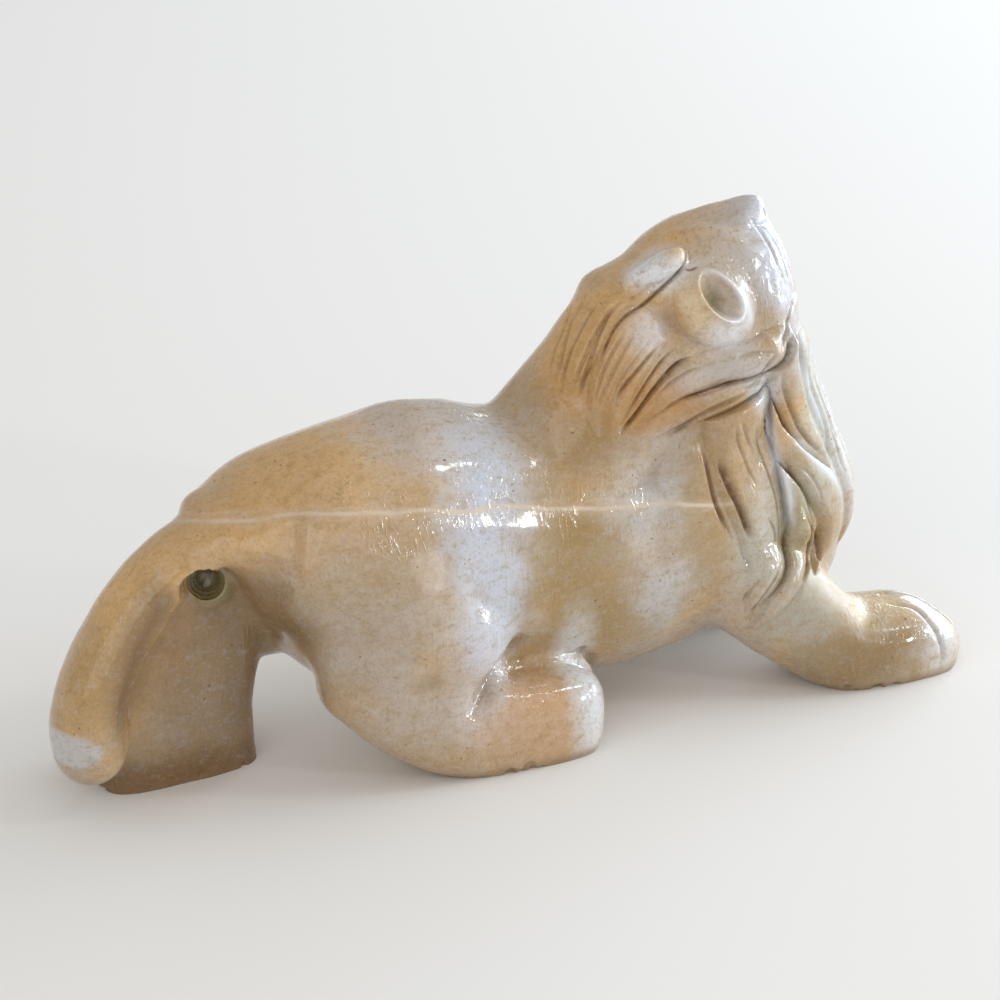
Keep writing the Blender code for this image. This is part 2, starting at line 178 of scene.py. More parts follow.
@dataclass(frozen=True)
class Limb:
    """A loft with domed ends through (x, y, z, half width, half height)."""

    sections: tuple[Section, ...]
    square: float = 2.0
    blunt: float = 1.0

    def add(self, bm: bmesh.types.BMesh) -> list[bmesh.types.BMVert]:
        """Add the loft.

        Args:
            bm: The mesh that takes it.

        Returns:
            Its points.
        """
        rows = smooth_curve(self.sections, CURVE_STEPS)
        along = np.gradient(rows[:, :3], axis=0)
        along /= np.linalg.norm(along, axis=1)[:, None]
        first_tip, first = self._cap(rows[0], -along[0], along[0])
        last_tip, last = self._cap(rows[-1], along[-1], along[-1])
        rings = first[::-1] + [(row[:3], row[3], row[4], way) for row, way in zip(rows, along)] + last
        loops = [self._ring(bm, *ring) for ring in rings]
        start, end = bm.verts.new(first_tip), bm.verts.new(last_tip)
        close_tube(bm, loops, start, end)
        return [start, end] + [vert for loop in loops for vert in loop]

    def on(self, side: Side, drop: float = 0.0) -> "Limb":
        """Return the same limb on one side of the middle, lowered by drop; it is written for the far one."""
        placed = ((x, side.value * y, z - drop, w, h) for x, y, z, w, h in self.sections)
        return replace(self, sections=tuple(placed))

    def _cap(self, row: np.ndarray, out: np.ndarray, facing: np.ndarray) -> tuple[np.ndarray, list[tuple]]:
        """Round an end off.

        Args:
            row: The end's section.
            out: The way out of the limb.
            facing: The way that its rings face.

        Returns:
            The tip and the rings towards it.
        """
        reach = min(row[3], row[4]) * self.blunt
        angles = [math.radians(a) for a in CAP_ANGLES]
        rings = [
            (row[:3] + out * reach * math.sin(a), row[3] * math.cos(a), row[4] * math.cos(a), facing)
            for a in angles
        ]
        return row[:3] + out * reach, rings

    def _ring(
        self, bm: bmesh.types.BMesh, centre: np.ndarray, width: float, height: float, along: np.ndarray
    ) -> list[bmesh.types.BMVert]:
        """Add one closed ring of points across the limb.

        Args:
            bm: The mesh that takes it.
            centre: Its centre.
            width: Its half width.
            height: Its half height.
            along: The limb's direction there.

        Returns:
            The ring's points.
        """
        side = np.array([0.0, 1.0, 0.0]) - along * along[1]
        side /= np.linalg.norm(side)
        up = np.cross(along, side)
        ring = []
        for k in range(RING_POINTS):
            angle = 2 * math.pi * k / RING_POINTS
            across = math.copysign(abs(math.cos(angle)) ** (2 / self.square), math.cos(angle))
            rise = math.copysign(abs(math.sin(angle)) ** (2 / self.square), math.sin(angle))
            ring.append(bm.verts.new(centre + side * width * across + up * height * rise))
        return ring


# Carving


class Skin:
    """The skin's points and normals, the height carved on each point, and the painted shade or highlight on
    it.
    """

    def __init__(self, obj: bpy.types.Object) -> None:
        """Read the skin of an object that has no modifiers.

        Args:
            obj: The object.
        """
        self.mesh = obj.data
        self.points = read(self.mesh.vertices, "co")
        self.normals = read(self.mesh.vertices, "normal")
        self.height, self.locks, self.painted_shade_and_highlight = (np.zeros(len(self.points)) for _ in range(3))
        self.tree = BVHTree.FromObject(obj, bpy.context.evaluated_depsgraph_get())

    def route(self, points: Line) -> np.ndarray:
        """Lay a smooth line through the points on to the skin."""
        rows = smooth_curve(points, ROUTE_STEPS)
        return np.array([self.tree.find_nearest(Vector(row))[0] for row in rows])

    def near(self, line: np.ndarray, reach: float) -> tuple[np.ndarray, np.ndarray, np.ndarray]:
        """Measure the points that lie within reach of a line.

        Args:
            line: The line's points.
            reach: The furthest distance.

        Returns:
            The points' indices, their share along the line and their signed
            distance across it.
        """
        low, high = line.min(0) - reach, line.max(0) + reach
        picked = np.flatnonzero(((self.points > low) & (self.points < high)).all(1))
        co, normal = self.points[picked], self.normals[picked]
        lengths = np.linalg.norm(np.diff(line, axis=0), axis=1)
        starts = np.concatenate([[0], np.cumsum(lengths)])
        best = np.full(len(picked), np.inf)
        share = np.zeros(len(picked))
        across = np.zeros(len(picked))
        for start, end, length, before in zip(line, line[1:], lengths, starts):
            if length < SHORTEST_STEP:
                continue
            step = (end - start) / length
            along = np.clip((co - start) @ step, 0, length)
            offset = co - start - along[:, None] * step
            distance = np.linalg.norm(offset, axis=1)
            closer = distance < best
            best[closer] = distance[closer]
            share[closer] = (before + along[closer]) / starts[-1]
            side = np.einsum("ij,ij->i", np.cross(step, normal[closer]), offset[closer])
            across[closer] = np.where(side < 0, -1, 1) * distance[closer]
        kept = best < reach
        return picked[kept], share[kept], across[kept]

    def carve(self) -> None:
        """Move the skin's points out by the heights of the locks and cuts."""
        self.points += self.normals * (self.height + self.locks)[:, None]
        self.mesh.vertices.foreach_set("co", self.points.ravel())
        # Store the painted shade along the grooves, and the painted highlights where the mark is below
        # nought.
        attribute = self.mesh.attributes.new("painted_shade_and_highlight", "FLOAT", "POINT")
        attribute.data.foreach_set("value", np.clip(self.painted_shade_and_highlight, -1, 1).astype(np.float32))
        self.mesh.update()


@dataclass(frozen=True)
class Cut:
    """A rounded groove, or a ridge if depth is negative, with painted shade along it, or a painted highlight
    along it where the paint share is negative.
    """

    points: Line
    half_width: float
    depth: float
    painted_shade_and_highlight: float = 0.0
    taper: float = 0.25
    reach: float = 2.0
    steepness: float = 1.5
    end_ease: float = 0.7

    def work(self, skin: Skin) -> None:
        """Incise the groove.

        Args:
            skin: The skin that it is cut in.
        """
        picked, share, across = skin.near(skin.route(self.points), self.half_width * self.reach)
        ends = np.clip(np.minimum(share, 1 - share) / self.taper, 0, 1) ** self.end_ease
        groove = ends * np.exp(-((across / self.half_width) ** 2) * self.steepness)
        skin.height[picked] -= self.depth * groove
        # Paint shade along the groove, or a highlight where the share is below nought; the stronger mark
        # stays.
        mark, before = self.painted_shade_and_highlight * groove * ends, skin.painted_shade_and_highlight[picked]
        skin.painted_shade_and_highlight[picked] = np.where(np.abs(mark) > np.abs(before), mark, before)


@dataclass(frozen=True)
class Lock:
    """A tapering ribbon of hair laid over what is there, with a fine seam around it."""

    points: Line
    half_width: float
    rise: float
    root: float = 0.12
    tip: float = 3.0
    bevel: float = 1.3
    seam: float = 0.14
    seam_width: float = 0.3
    fade: float = 0.5
    root_ease: float = 0.5
    tip_ease: float = 0.7
    least: float = 0.05
    crown: float = 0.25

    def work(self, skin: Skin) -> None:
        """Lay the lock.

        Args:
            skin: The skin that it is laid on.
        """
        reach = self.half_width * (1 + self.least) + 3 * self.seam_width
        picked, share, across = skin.near(skin.route(self.points), reach)
        taper = np.clip(share / self.root, 0, 1) ** self.root_ease * (1 - share**self.tip) ** self.tip_ease
        width = self.half_width * np.maximum(taper, self.least)
        lift = np.clip(share / self.root, 0, 1) * (1 - self.fade * share**3)
        outside = np.abs(across) - width
        seam = self.seam * lift * np.exp(-((outside / self.seam_width) ** 2))
        inside = outside < 0
        skin.locks[picked[~inside]] -= seam[~inside]
        picked, share, across, width = picked[inside], share[inside], across[inside], width[inside]
        bevel = np.clip((width - np.abs(across)) / self.bevel, 0, 1)
        ribbon = self.rise * (1 - (1 - bevel) ** 2) * (1 - self.crown * (across / width) ** 2)
        laid = np.clip(share / self.root * 2, 0, 1) * (1 - max(self.fade * 2 - 1, 0) * share**4)
        skin.locks[picked] += laid * (ribbon * lift[inside] - seam[inside] - skin.locks[picked])


# Parts of the lion


@dataclass(frozen=True)
class Part:
    """Something of the lion that is joined from masses and then cut."""

    masses: tuple[Union[Egg, Limb], ...] = ()
    cuts: tuple[Cut, ...] = ()

    def block_out(self, bm: bmesh.types.BMesh) -> None:
        """Add the masses to a mesh."""
        for mass in self.masses:
            mass.add(bm)

    def carve(self, skin: Skin) -> None:
        """Work the cuts into the skin."""
        for cut in self.cuts:
            cut.work(skin)


@dataclass(frozen=True)
class Trunk(Part):
    """Torso with a slightly hollow back, neck, throat and chest."""

    masses: tuple[Union[Egg, Limb], ...] = (
        Limb((
            (-36, 0.6, 29.2, 7.2, 3.7), (-31, 0.8, 28, 11, 8.5), (-26, 0, 26.6, 12.8, 12.1),
            (-20, 0, 24.1, 13.4, 15.8), (-12, 0, 21.9, 13.3, 16.8), (-3, 0, 20.5, 13, 15.8),
            (10, 0, 19.6, 12.8, 16.6), (22, 0, 21, 12, 15.5), (29, 0, 22, 9.5, 12.5),
        )),
        Limb(((5, 0, 27, 11, 11.6), (11.6, -0.3, 35.6, 9.6, 10.6), (16, -0.5, 42.8, 8.5, 9.6))),
        Limb(((14, -0.5, 39, 9, 7.6), (24, -1, 37, 9.2, 8))),
        Limb((
            (29.8, 0, 14, 9.5, 11.2), (29.7, 0, 19.5, 11.2, 11.8), (28.4, -0.5, 28, 10.4, 9.4),
            (27, -1, 35, 9, 8),
        )),
        Egg((20, -0.5, 35), (9.5, 10.6, 8.5)),
        Egg((17, 0, 28.6), (11, 12, 10)),
        Egg((11.8, -0.8, 46.9), (4.4, 6.6, 3.6)),
    )


@dataclass(frozen=True)
class HeadPlace:
    """Where the head sits and how far it is turned, raised and tilted."""

    centre: Triple = (20.0, 0.0, 47.0)
    turn: float = 20.0
    pitch: float = 22.0
    tilt: float = 11.0
    neck_foot: float = 24.0
    neck_top: float = 42.0

    def matrix(self) -> Matrix:
        """Work out how the head's own frame (front, left, up) lies in the figure's.

        Returns:
            The matrix from the one to the other.
        """
        turn = Matrix.Rotation(math.radians(-self.turn), 4, "Z")
        pitch = Matrix.Rotation(math.radians(-self.pitch), 4, "Y")
        tilt = Matrix.Rotation(math.radians(-self.tilt), 4, "X")
        return Matrix.Translation(self.centre) @ turn @ pitch @ tilt

    def local(self, points: np.ndarray) -> np.ndarray:
        """Carry points of the figure into the head's frame."""
        inverse = np.array(self.matrix().inverted())
        return points @ inverse[:3, :3].T + inverse[:3, 3]

    def in_figure(self, points: Line, side: Side = Side.FAR) -> list[Triple]:
        """Carry points (front, outwards, up) of one side of the head into the figure."""
        place = self.matrix()
        return [tuple(place @ Vector((f, side.value * out, u))) for f, out, u in points]

    def opposite(self, points: Line) -> list[Triple]:
        """Mirror a near line to the far side, in the figure below the neck and in the head above.

        Args:
            points: Points on the near side.

        Returns:
            The matching points on the far side.
        """
        place = self.matrix()
        across = place @ Matrix.Diagonal((1, -1, 1, 1)) @ place.inverted()
        far = []
        for x, y, z in points:
            turned = min(max((z - self.neck_foot) / (self.neck_top - self.neck_foot), 0), 1)
            far.append(tuple(Vector((x, -y, z)).lerp(across @ Vector((x, y, z)), turned)))
        return far


@dataclass(frozen=True)
class Head:
    """Raised head with a blunt upright face, hollowed eyes and short rolled ears."""

    place: HeadPlace = HeadPlace()
    skull: tuple[Union[Egg, Limb], ...] = (
        Egg((2.1, 0, 0), (10, 8.3, 7.7)),
        Limb((
            (7.2, 0, 3.4, 5.4, 4.6), (7.4, 0, -1, 6.8, 5), (6.6, 0.6, -5.5, 7.4, 5),
            (5.4, 1.6, -10, 7.6, 4.8), (4.4, 2.8, -15, 7.6, 4.8),
        )),
        Egg((9.8, 0, 5.2), (2.5, 2.8, 1.9)),
    )
    cheek: tuple[Egg, ...] = (
        Egg((-2.2, 4.0, -0.8), (6.6, 4.8, 6)),
        Egg((1.5, 3.8, -7), (6.5, 4.6, 5)),
        Egg((1.2, 6.6, -1.8), (6, 3.4, 5.5), yaw=-20),
    )
    ear_root: Limb = Limb((
        (-4.6, 6.6, 3.5, 1.4, 1.4), (-2.8, 7.4, 4.2, 1.7, 1.7), (-0.3, 7.7, 4.9, 1.8, 1.7),
    ))
    far_ear_drop: float = 0.9
    hollow_centre: tuple[float, float] = (3.2, -0.8)
    hollow_radii: tuple[float, float] = (1.65, 3.2)
    hollow_lean: float = 0.34
    hollow_depth: float = 1.9
    hollow_slant: float = 0.45
    hollow_fall: float = 1.6
    hollow_rim: float = 0.3
    rim_place: tuple[float, float] = (1.06, 0.16)
    rim_highlight_place: tuple[float, float] = (1.03, 0.1)
    rim_highlight_share: Triple = (0.55, 0.3, -0.25)
    dome_centre: tuple[float, float] = (2.6, -1.2)
    dome_radii: tuple[float, float] = (4.6, 5.4)
    dome_rise: float = 0.7
    dome_fall: float = 0.8
    eye_from_middle: float = 3.0
    ear: Lock = Lock(
        ((10.3, -3.8, 49.9), (12, -4.8, 51.2), (13.3, -6, 52.2), (15, -6.5, 53.2), (17.6, -5.2, 53.6)),
        1.5, 0.8, root=0.04, tip=14.0, bevel=1.5, seam=0.12, fade=0.2,
    )
    far_ear: Lock = replace(ear, rise=0.45, root=0.4, tip=2.5, seam=0.05)
    lines: tuple[Cut, ...] = (
        Cut(((17.5, -4.3, 53.7), (16.7, -5.9, 53.1), (16.1, -6.5, 52), (14.6, -6.4, 50.7), (13.1, -5.9, 49.2),
             (11.6, -6.3, 48.6), (9.8, -6.7, 48.1), (8.8, -6.4, 47.3), (8, -5.9, 46), (7, -6.2, 44.7),
             (6, -6.8, 43.3)), 0.24, 0.55, 0.6, 0.1),
        Cut(((11.1, -2.8, 50.6), (10.7, -4.4, 49.8), (10.9, -5.5, 49.2)), 0.25, 0.25),
        Cut(((16.3, -6.7, 52), (17.1, -7, 51.8), (18, -7, 52)), 0.22, 0.2, 0.8),
        Cut(((17.5, -6.8, 52.1), (19.9, -7.3, 52.3), (22.2, -8.4, 51.2), (24.1, -9.4, 48.1)), 0.8, 0.2),
        Cut(((20.5, -11.7, 42.6), (22.8, -12.1, 42.7), (25.5, -11.4, 42.2)), 0.3, 0.3, 0.25),
        Cut(((28.8, -9, 46.4), (28.4, -9.3, 45.4), (27.4, -10.2, 44), (26.4, -11.3, 42.2)),
            0.28, 0.35, 0.2, 0.2),
        Cut(((25.7, -11.5, 42.2), (24.5, -11.5, 40.7), (23.6, -10.9, 38.9), (21.6, -11.3, 38.2)),
            0.35, 0.5, 0.2),
        Cut(((25.6, -5.4, 55.4), (27, -5.3, 54.9), (29.2, -3.6, 54.3)), 0.4, 0.35, 0.1),
        Cut(((25.6, -4.5, 56.2), (26.2, -5.5, 55), (26.9, -6.6, 52.9), (27.4, -7.9, 50.7),
             (28.1, -8.3, 48.2)), 0.28, 0.22, 0.1, 0.3),
        Cut(((28.3, -5, 54.1), (29, -6.1, 52.2), (29.8, -6.7, 50.2), (30.6, -6.6, 47.4)),
            0.25, 0.2, 0.1, 0.25),
        Cut(((27.3, -4.9, 54.7), (28.1, -6.2, 52.6), (28.6, -7.5, 50), (29.4, -7.8, 47)),
            0.22, -0.14, 0, 0.3),
    )
    face: tuple[Cut, ...] = (
        Cut(((-0.8, 4, 6.9), (4.4, 5.1, 6.1), (7.2, 5.9, 3.8), (9, 5.6, 0.5)), 1.4, -0.5),
        Cut(((11.9, 0, -5.6), (11.2, 3, -5.5), (10, 5, -6.6)), 0.4, 0.45, taper=0.3),
        Cut(((11.8, 0.9, 4.2), (11.6, 1.7, 4.4)), 0.5, 0.5),
    )
    middle: tuple[Cut, ...] = (
        Cut(((7.4, -6, 5.6), (7.8, 0, 7.2), (7.4, 6, 5.6)), 2.9, 0.8),
        Cut(((12.1, 0, 3), (12.4, 0, -1), (12, 0, -5)), 0.35, 0.25),
    )
    behind_eye: Cut = Cut(
        ((13.4, -6.9, 48.8), (13.7, -7.9, 47.6), (14.4, -8.9, 46.1), (15.7, -9.6, 44.6), (18, -9.9, 43.3)),
        1.1, 0.6, 0.3,
    )

    def block_out(self, bm: bmesh.types.BMesh) -> None:
        """Add the skull, face, eyes and ears.

        Args:
            bm: The mesh that takes them.
        """
        masses: list[Union[Egg, Limb]] = list(self.skull)
        for side in Side:
            drop = self.far_ear_drop if side is Side.FAR else 0
            masses += [form.on(side) for form in self.cheek] + [self.ear_root.on(side, drop)]
        verts = [vert for mass in masses for vert in mass.add(bm)]
        bmesh.ops.transform(bm, matrix=self.place.matrix(), verts=verts)

    def carve(self, skin: Skin) -> None:
        """Cut brows, lips, mouth, nostrils, ear creases and the hollow eyes.

        Args:
            skin: The skin that they are cut in.
        """
        for side in Side:
            for cut in self.face:
                replace(cut, points=self.place.in_figure(cut.points, side)).work(skin)
            self._hollow_eye(skin, side)
        for cut in self.middle:
            replace(cut, points=self.place.in_figure(cut.points)).work(skin)
        for form in (self.ear, self.behind_eye):
            form.work(skin)
        replace(self.far_ear, points=self.place.opposite(self.ear.points)).work(skin)
        for form in self.lines:
            form.work(skin)
            replace(form, points=self.place.opposite(form.points)).work(skin)

    def _hollow_eye(self, skin: Skin, side: Side) -> None:
        """Swell one eye's dome and sink its oval hollow, deepest towards the back, inside a thin rim with a
        painted highlight on its front and lower side.

        Args:
            skin: The skin that it is sunk in.
            side: The side that it is on.
        """
        local = self.place.local(skin.points)
        forward = local[:, 0] - self.hollow_centre[0]
        above = local[:, 2] - self.hollow_centre[1]
        a = (forward + self.hollow_lean * above) / self.hollow_radii[0]
        b = (above - self.hollow_lean * forward) / self.hollow_radii[1]
        r = np.sqrt(a**2 + b**2)
        facing = local[:, 1] * side.value > self.eye_from_middle
        c = (local[:, 0] - self.dome_centre[0]) / self.dome_radii[0]
        d = (local[:, 2] - self.dome_centre[1]) / self.dome_radii[1]
        skin.height += np.where(facing, self.dome_rise * np.clip(1 - c**2 - d**2, 0, 1) ** self.dome_fall, 0)
        hollow = facing & (r < 1)
        slant = 1 - self.hollow_slant * np.clip(a[hollow], -1, 1)
        skin.height[hollow] -= self.hollow_depth * slant * (1 - r[hollow] ** self.hollow_fall)
        rim, rim_highlight = (np.exp(-(((r - at) / width) ** 2)) for at, width in (self.rim_place, self.rim_highlight_place))
        skin.height += np.where(facing, self.hollow_rim * rim, 0)
        # Painted highlight along the rim, strongest on its front and lower side.
        even, ahead, up = self.rim_highlight_share
        skin.painted_shade_and_highlight -= np.where(facing, rim_highlight * np.clip(even + ahead * a + up * b, 0, 1), 0)


@dataclass(frozen=True)
class Mane:
    """Locks of the chest and cheeks, the lines combed in them and fine strands down the nape."""

    locks: tuple[Lock, ...] = (
        Lock(((32.6, -4.8, 43), (35.6, -4, 36), (38.6, -3.4, 29), (41, -3, 21), (40.4, -2, 13),
              (37.6, -1, 7)), 2.8, 1.0),
        Lock(((30.6, -8.4, 44.6), (33, -8.2, 37.4), (36, -7.2, 29.6), (38.2, -7, 22), (37.6, -6, 14)), 2.4,
             1.0),
        Lock(((23.8, -10.6, 39), (25.8, -10.8, 30), (28.2, -11.5, 22.4), (28.4, -11.3, 17), (25.4, -13, 12.6),
              (22, -13.3, 9.4)), 2.7, 1.3),
        Lock(((24.6, -11.4, 39), (27.4, -11.6, 32.4), (31, -11.2, 27.4), (34, -10.6, 21.6), (33.8, -9.9, 16),
              (30, -11.5, 12.6)), 2.8, 1.5),
        Lock(((27.4, -10.4, 45.4), (27.2, -11.6, 40.6), (28.2, -11.6, 36.6), (30, -11.2, 32.6),
              (32.4, -10.6, 29), (35.2, -10, 25.4)), 2.3, 1.5),
        Lock(((21, -10.6, 40.4), (21.6, -10.7, 33.5), (23.2, -11.3, 26.5), (24.8, -11.9, 20.5),
              (24.6, -12.5, 16.5), (21.8, -13, 12)), 4.5, 1.4, tip=2.6, bevel=2.2),
        Lock(((26, -11, 40), (20, -10.4, 38.6), (13.6, -10, 36.6), (7, -10.4, 33.8)), 2.6, 1.0, fade=0.9),
        Lock(((12.8, -7.6, 48.2), (9.4, -7.8, 44.6), (7, -8.2, 41.2), (5.9, -9, 37.6), (6.2, -10, 33.8)), 3.0,
             1.1, bevel=1.6, seam=0.08, fade=1.0),
        Lock(((28, -10.6, 44.2), (24.4, -11.2, 41.8), (19.4, -10.4, 41.2), (13.6, -9.8, 39.6),
              (8, -10.2, 36)), 2.4, 1.15, bevel=1.6, seam=0.1, fade=1.0),
    )
    lines: tuple[Cut, ...] = (
        Cut(((6.2, -5.3, 42.6), (5.6, -5.2, 41.6), (4.8, -5.5, 40.4), (4.2, -6.1, 39.3)), 0.34, 0.22, 0.59),
        Cut(((10.2, -8.1, 47.1), (8.4, -8.1, 44.5), (6.7, -8.3, 41.9), (5.6, -8.6, 39.9), (5, -8.8, 38.3)),
            0.2, 0.19, 0.17),
        Cut(((11.3, -8.9, 45.6), (9.7, -8.7, 43.7), (8.2, -8.7, 42), (7.1, -8.8, 40.4), (6.3, -9, 38.8)), 0.2,
            0.21, 0.17),
        Cut(((8.8, -7.4, 46.4), (7.4, -7.1, 44), (6, -7.4, 41.7), (4.8, -8, 39.5)), 0.2, 0.21, 0.21),
        Cut(((13.2, -8.2, 44.6), (11.2, -8.9, 43.6), (9.8, -9, 42.4), (8.6, -9, 41.3), (7.4, -9.2, 40.1),
             (6.7, -9.3, 38.7)), 0.27, 0.45, 0.64),
        Cut(((14.5, -9.1, 43.8), (13.1, -9.3, 43.1), (11.7, -9.6, 41.9), (10.5, -9.7, 40.5),
             (9.1, -9.8, 38.8), (7.9, -9.9, 37.4)), 0.22, 0.38, 0.59),
        Cut(((16.2, -9.2, 42.5), (14.5, -9.6, 42.1), (12.9, -9.8, 41), (11.3, -9.8, 39.6), (9.7, -9.9, 37.9),
             (8.2, -10, 36.5), (7.1, -10, 35.5)), 0.27, 0.56, 0.8, 0.15),
        Cut(((17.3, -10.3, 41.7), (15.8, -10.3, 41.4), (14.3, -10.4, 40.9), (13, -10.4, 40.2),
             (11.6, -10.4, 39.2)), 0.2, 0.26, 0.3),
        Cut(((22.3, -11, 39.3), (20.1, -10.8, 39.1), (18.3, -10.5, 38.7), (16.5, -10.2, 38.4),
             (14.7, -10.2, 38.1)), 0.2, 0.3, 0.38),
        Cut(((23.6, -10.8, 38), (21.1, -11.5, 37.6), (18.5, -11.6, 37.1), (16.3, -11, 36.1),
             (14.5, -9.8, 34.6), (12.6, -10.1, 34.2)), 0.37, 0.45, 0.68, 0.3),
        Cut(((16.6, -10.7, 33.1), (17, -11.4, 31.3), (17.4, -11.8, 29.2), (18.1, -11.7, 26.6),
             (19, -12, 23.7), (20.3, -12.2, 20.8)), 0.34, 0.5, 0.9),
        Cut(((18.3, -11.9, 31.2), (19.1, -12.5, 29.1), (20.4, -12.5, 26.2), (21.5, -12.6, 23.4),
             (22.6, -12.7, 20.4)), 0.36, 0.65, 1.0, 0.15),
        Cut(((20.2, -12.1, 35), (20.7, -12, 32.8), (21.8, -12, 30.2), (23.1, -11.6, 26.8)), 0.2, 0.26, 0.21),
        Cut(((20.8, -12.2, 35.5), (22, -11.5, 32.7), (23.4, -11, 30.4)), 0.2, 0.22, 0.13),
        Cut(((23.1, -11.6, 34.6), (24.1, -10.8, 30.8), (25.1, -11.4, 27.8), (26.1, -11.8, 24.5),
             (26.5, -11.7, 21.7), (26.8, -11.4, 19)), 0.2, 0.26, 0.13),
        Cut(((24.5, -12.2, 22.9), (25.7, -11.1, 20.4), (25.7, -11.4, 18.6)), 0.2, 0.19, 0.3),
        Cut(((26.3, -12.8, 16.9), (24.5, -13.5, 15), (23, -13.6, 13), (21.9, -13.3, 10.9)), 0.2, 0.3, 0.26),
        Cut(((24.6, -11.1, 34.3), (25.3, -11.1, 32.1), (26.4, -11.3, 29.6)), 0.27, 0.45, 0.68),
        Cut(((26.9, -11.5, 29.2), (27.8, -11.6, 27.8), (28.3, -11.8, 26.1)), 0.2, 0.22, 0.13),
        Cut(((29.2, -12.2, 23.8), (30.1, -12.1, 21.3), (31.6, -10.6, 17.6), (31.2, -10.9, 15.3),
             (28.6, -13.9, 14.7)), 0.31, 0.45, 0.77),
        Cut(((32.2, -10.8, 19.1), (32.8, -10.5, 16.7), (33, -10.8, 14.8), (32.1, -11.9, 14)), 0.26, 0.45,
            0.8),
        Cut(((28.8, -12, 28), (30.4, -12.1, 26.5), (31.6, -12, 24.5), (32.1, -11.8, 22.7)), 0.2, 0.22, 0.13),
        Cut(((26.2, -11.4, 40.2), (26.4, -11.9, 38.4), (27.3, -11.9, 35.9), (28.6, -11.6, 33.2),
             (30.5, -11.3, 30.5), (33.2, -10.5, 27.5)), 0.28, 0.45, 0.59),
        Cut(((31.3, -9.1, 38.7), (31.9, -9, 36.1), (33.2, -8.8, 33.2), (34.6, -8.5, 29.6), (35.2, -8.6, 26)),
            0.2, 0.3, 0.13),
        Cut(((34, -8.2, 33.3), (35.3, -8.2, 29.9), (36.5, -8.2, 26.8), (37.4, -8.3, 23.7)), 0.22, 0.34, 0.21),
        Cut(((29.9, -9.3, 41.4), (30.1, -9.4, 39.4), (31, -9.1, 36.3)), 0.2, 0.26, 0.13),
        Cut(((32.6, -8.2, 37.6), (33.4, -8, 34.6), (34.8, -7.6, 31), (36.2, -7.3, 27.4)), 0.25, 0.3, 0.17),
        Cut(((35.4, -7, 33.6), (36.9, -6.8, 30), (38.2, -6.6, 26.8), (39, -6.4, 23.4)), 0.25, 0.3, 0.13),
        Cut(((33.6, -6.8, 39.4), (34.8, -6.4, 36), (36.4, -6, 32), (37.8, -5.8, 28.4)), 0.25, 0.26, 0.09),
        Cut(((23.7, -13.7, 16.3), (22, -13.9, 14.7), (21.1, -13.2, 12.8)), 0.2, 0.22, 0.21),
    )
    # Painted highlights along the bright lock edges and on the eye rim's front crescent; the first entry only
    # raises a broad low ridge and paints nothing.
    highlight_paint: tuple[Cut, ...] = (
        Cut(((27.5, -12.4, 21.6), (30, -12, 20), (32, -11.4, 18.6)), 2.0, -0.8),
        Cut(((24.4, -10.6, 37.6), (25.2, -11.5, 34), (26, -11.4, 30), (27.2, -11.8, 26.4), (27.8, -12, 23),
             (27.2, -12.4, 19)), 0.6, 0.0, -0.9),
        Cut(((27.2, -11.2, 32.6), (29.4, -11, 30.1), (31.2, -11.4, 28), (33.7, -11.2, 25.5), (36, -10, 22.4)),
            0.6, 0.0, -0.9),
        Cut(((28.6, -11, 42), (30.6, -9.3, 37.9), (32, -9, 34.8), (33.3, -8.7, 32.1), (34.6, -8.6, 28.6)),
            0.5, 0.0, -0.9),
        Cut(((21.4, -9, 50.4), (22.5, -9.7, 47.8), (22.9, -9.9, 46.2), (22, -10.1, 44.8)), 0.8, -0.1, -0.8),
        Cut(((25.4, -11.7, 41.4), (26.4, -11, 43.2), (27.8, -9.7, 45.2)), 0.3, 0.0, -0.6),
    )
    nape: tuple[Cut, ...] = (
        Cut(((8.4, -3, 48.5), (7.6, -2, 46.5), (6.1, -2.1, 44.5), (4.9, -2.5, 42.8), (3.8, -3.3, 40.9),
             (2.6, -4.6, 39.3)), 0.3, 0.35, 0.3),
        Cut(((8, -0.3, 48.2), (6.6, 0, 45.6), (5.1, -1, 43.6), (3.6, -2.4, 41.8), (2.5, -3.4, 40)), 0.3, 0.3,
            0.25),
        Cut(((9.9, -4.7, 48.8), (8.3, -4.2, 46.8), (7.1, -4.3, 44.7), (6.1, -4.8, 42.7), (4.7, -5.5, 40.4)),
            0.32, 0.35, 0.35),
        Cut(((7.6, 2.2, 46.7), (5.5, 0.5, 44.4), (4, -0.5, 42.2), (2.3, -2.2, 40.5)), 0.3, 0.25, 0.2),
        Cut(((8.8, -4.4, 47.7), (7.5, -4, 45.7), (5.9, -4.3, 43.5), (4.5, -4.8, 41.4), (3.3, -5.5, 39.5)),
            0.26, 0.28, 0.2),
    )

    def carve(self, skin: Skin, place: HeadPlace) -> None:
        """Lay the hair on both sides.

        Args:
            skin: The skin that takes it.
            place: The head's place, which the far side's hair follows.
        """
        for form in self.locks + self.lines + self.highlight_paint + self.nape:
            form.work(skin)
            replace(form, points=place.opposite(form.points)).work(skin)


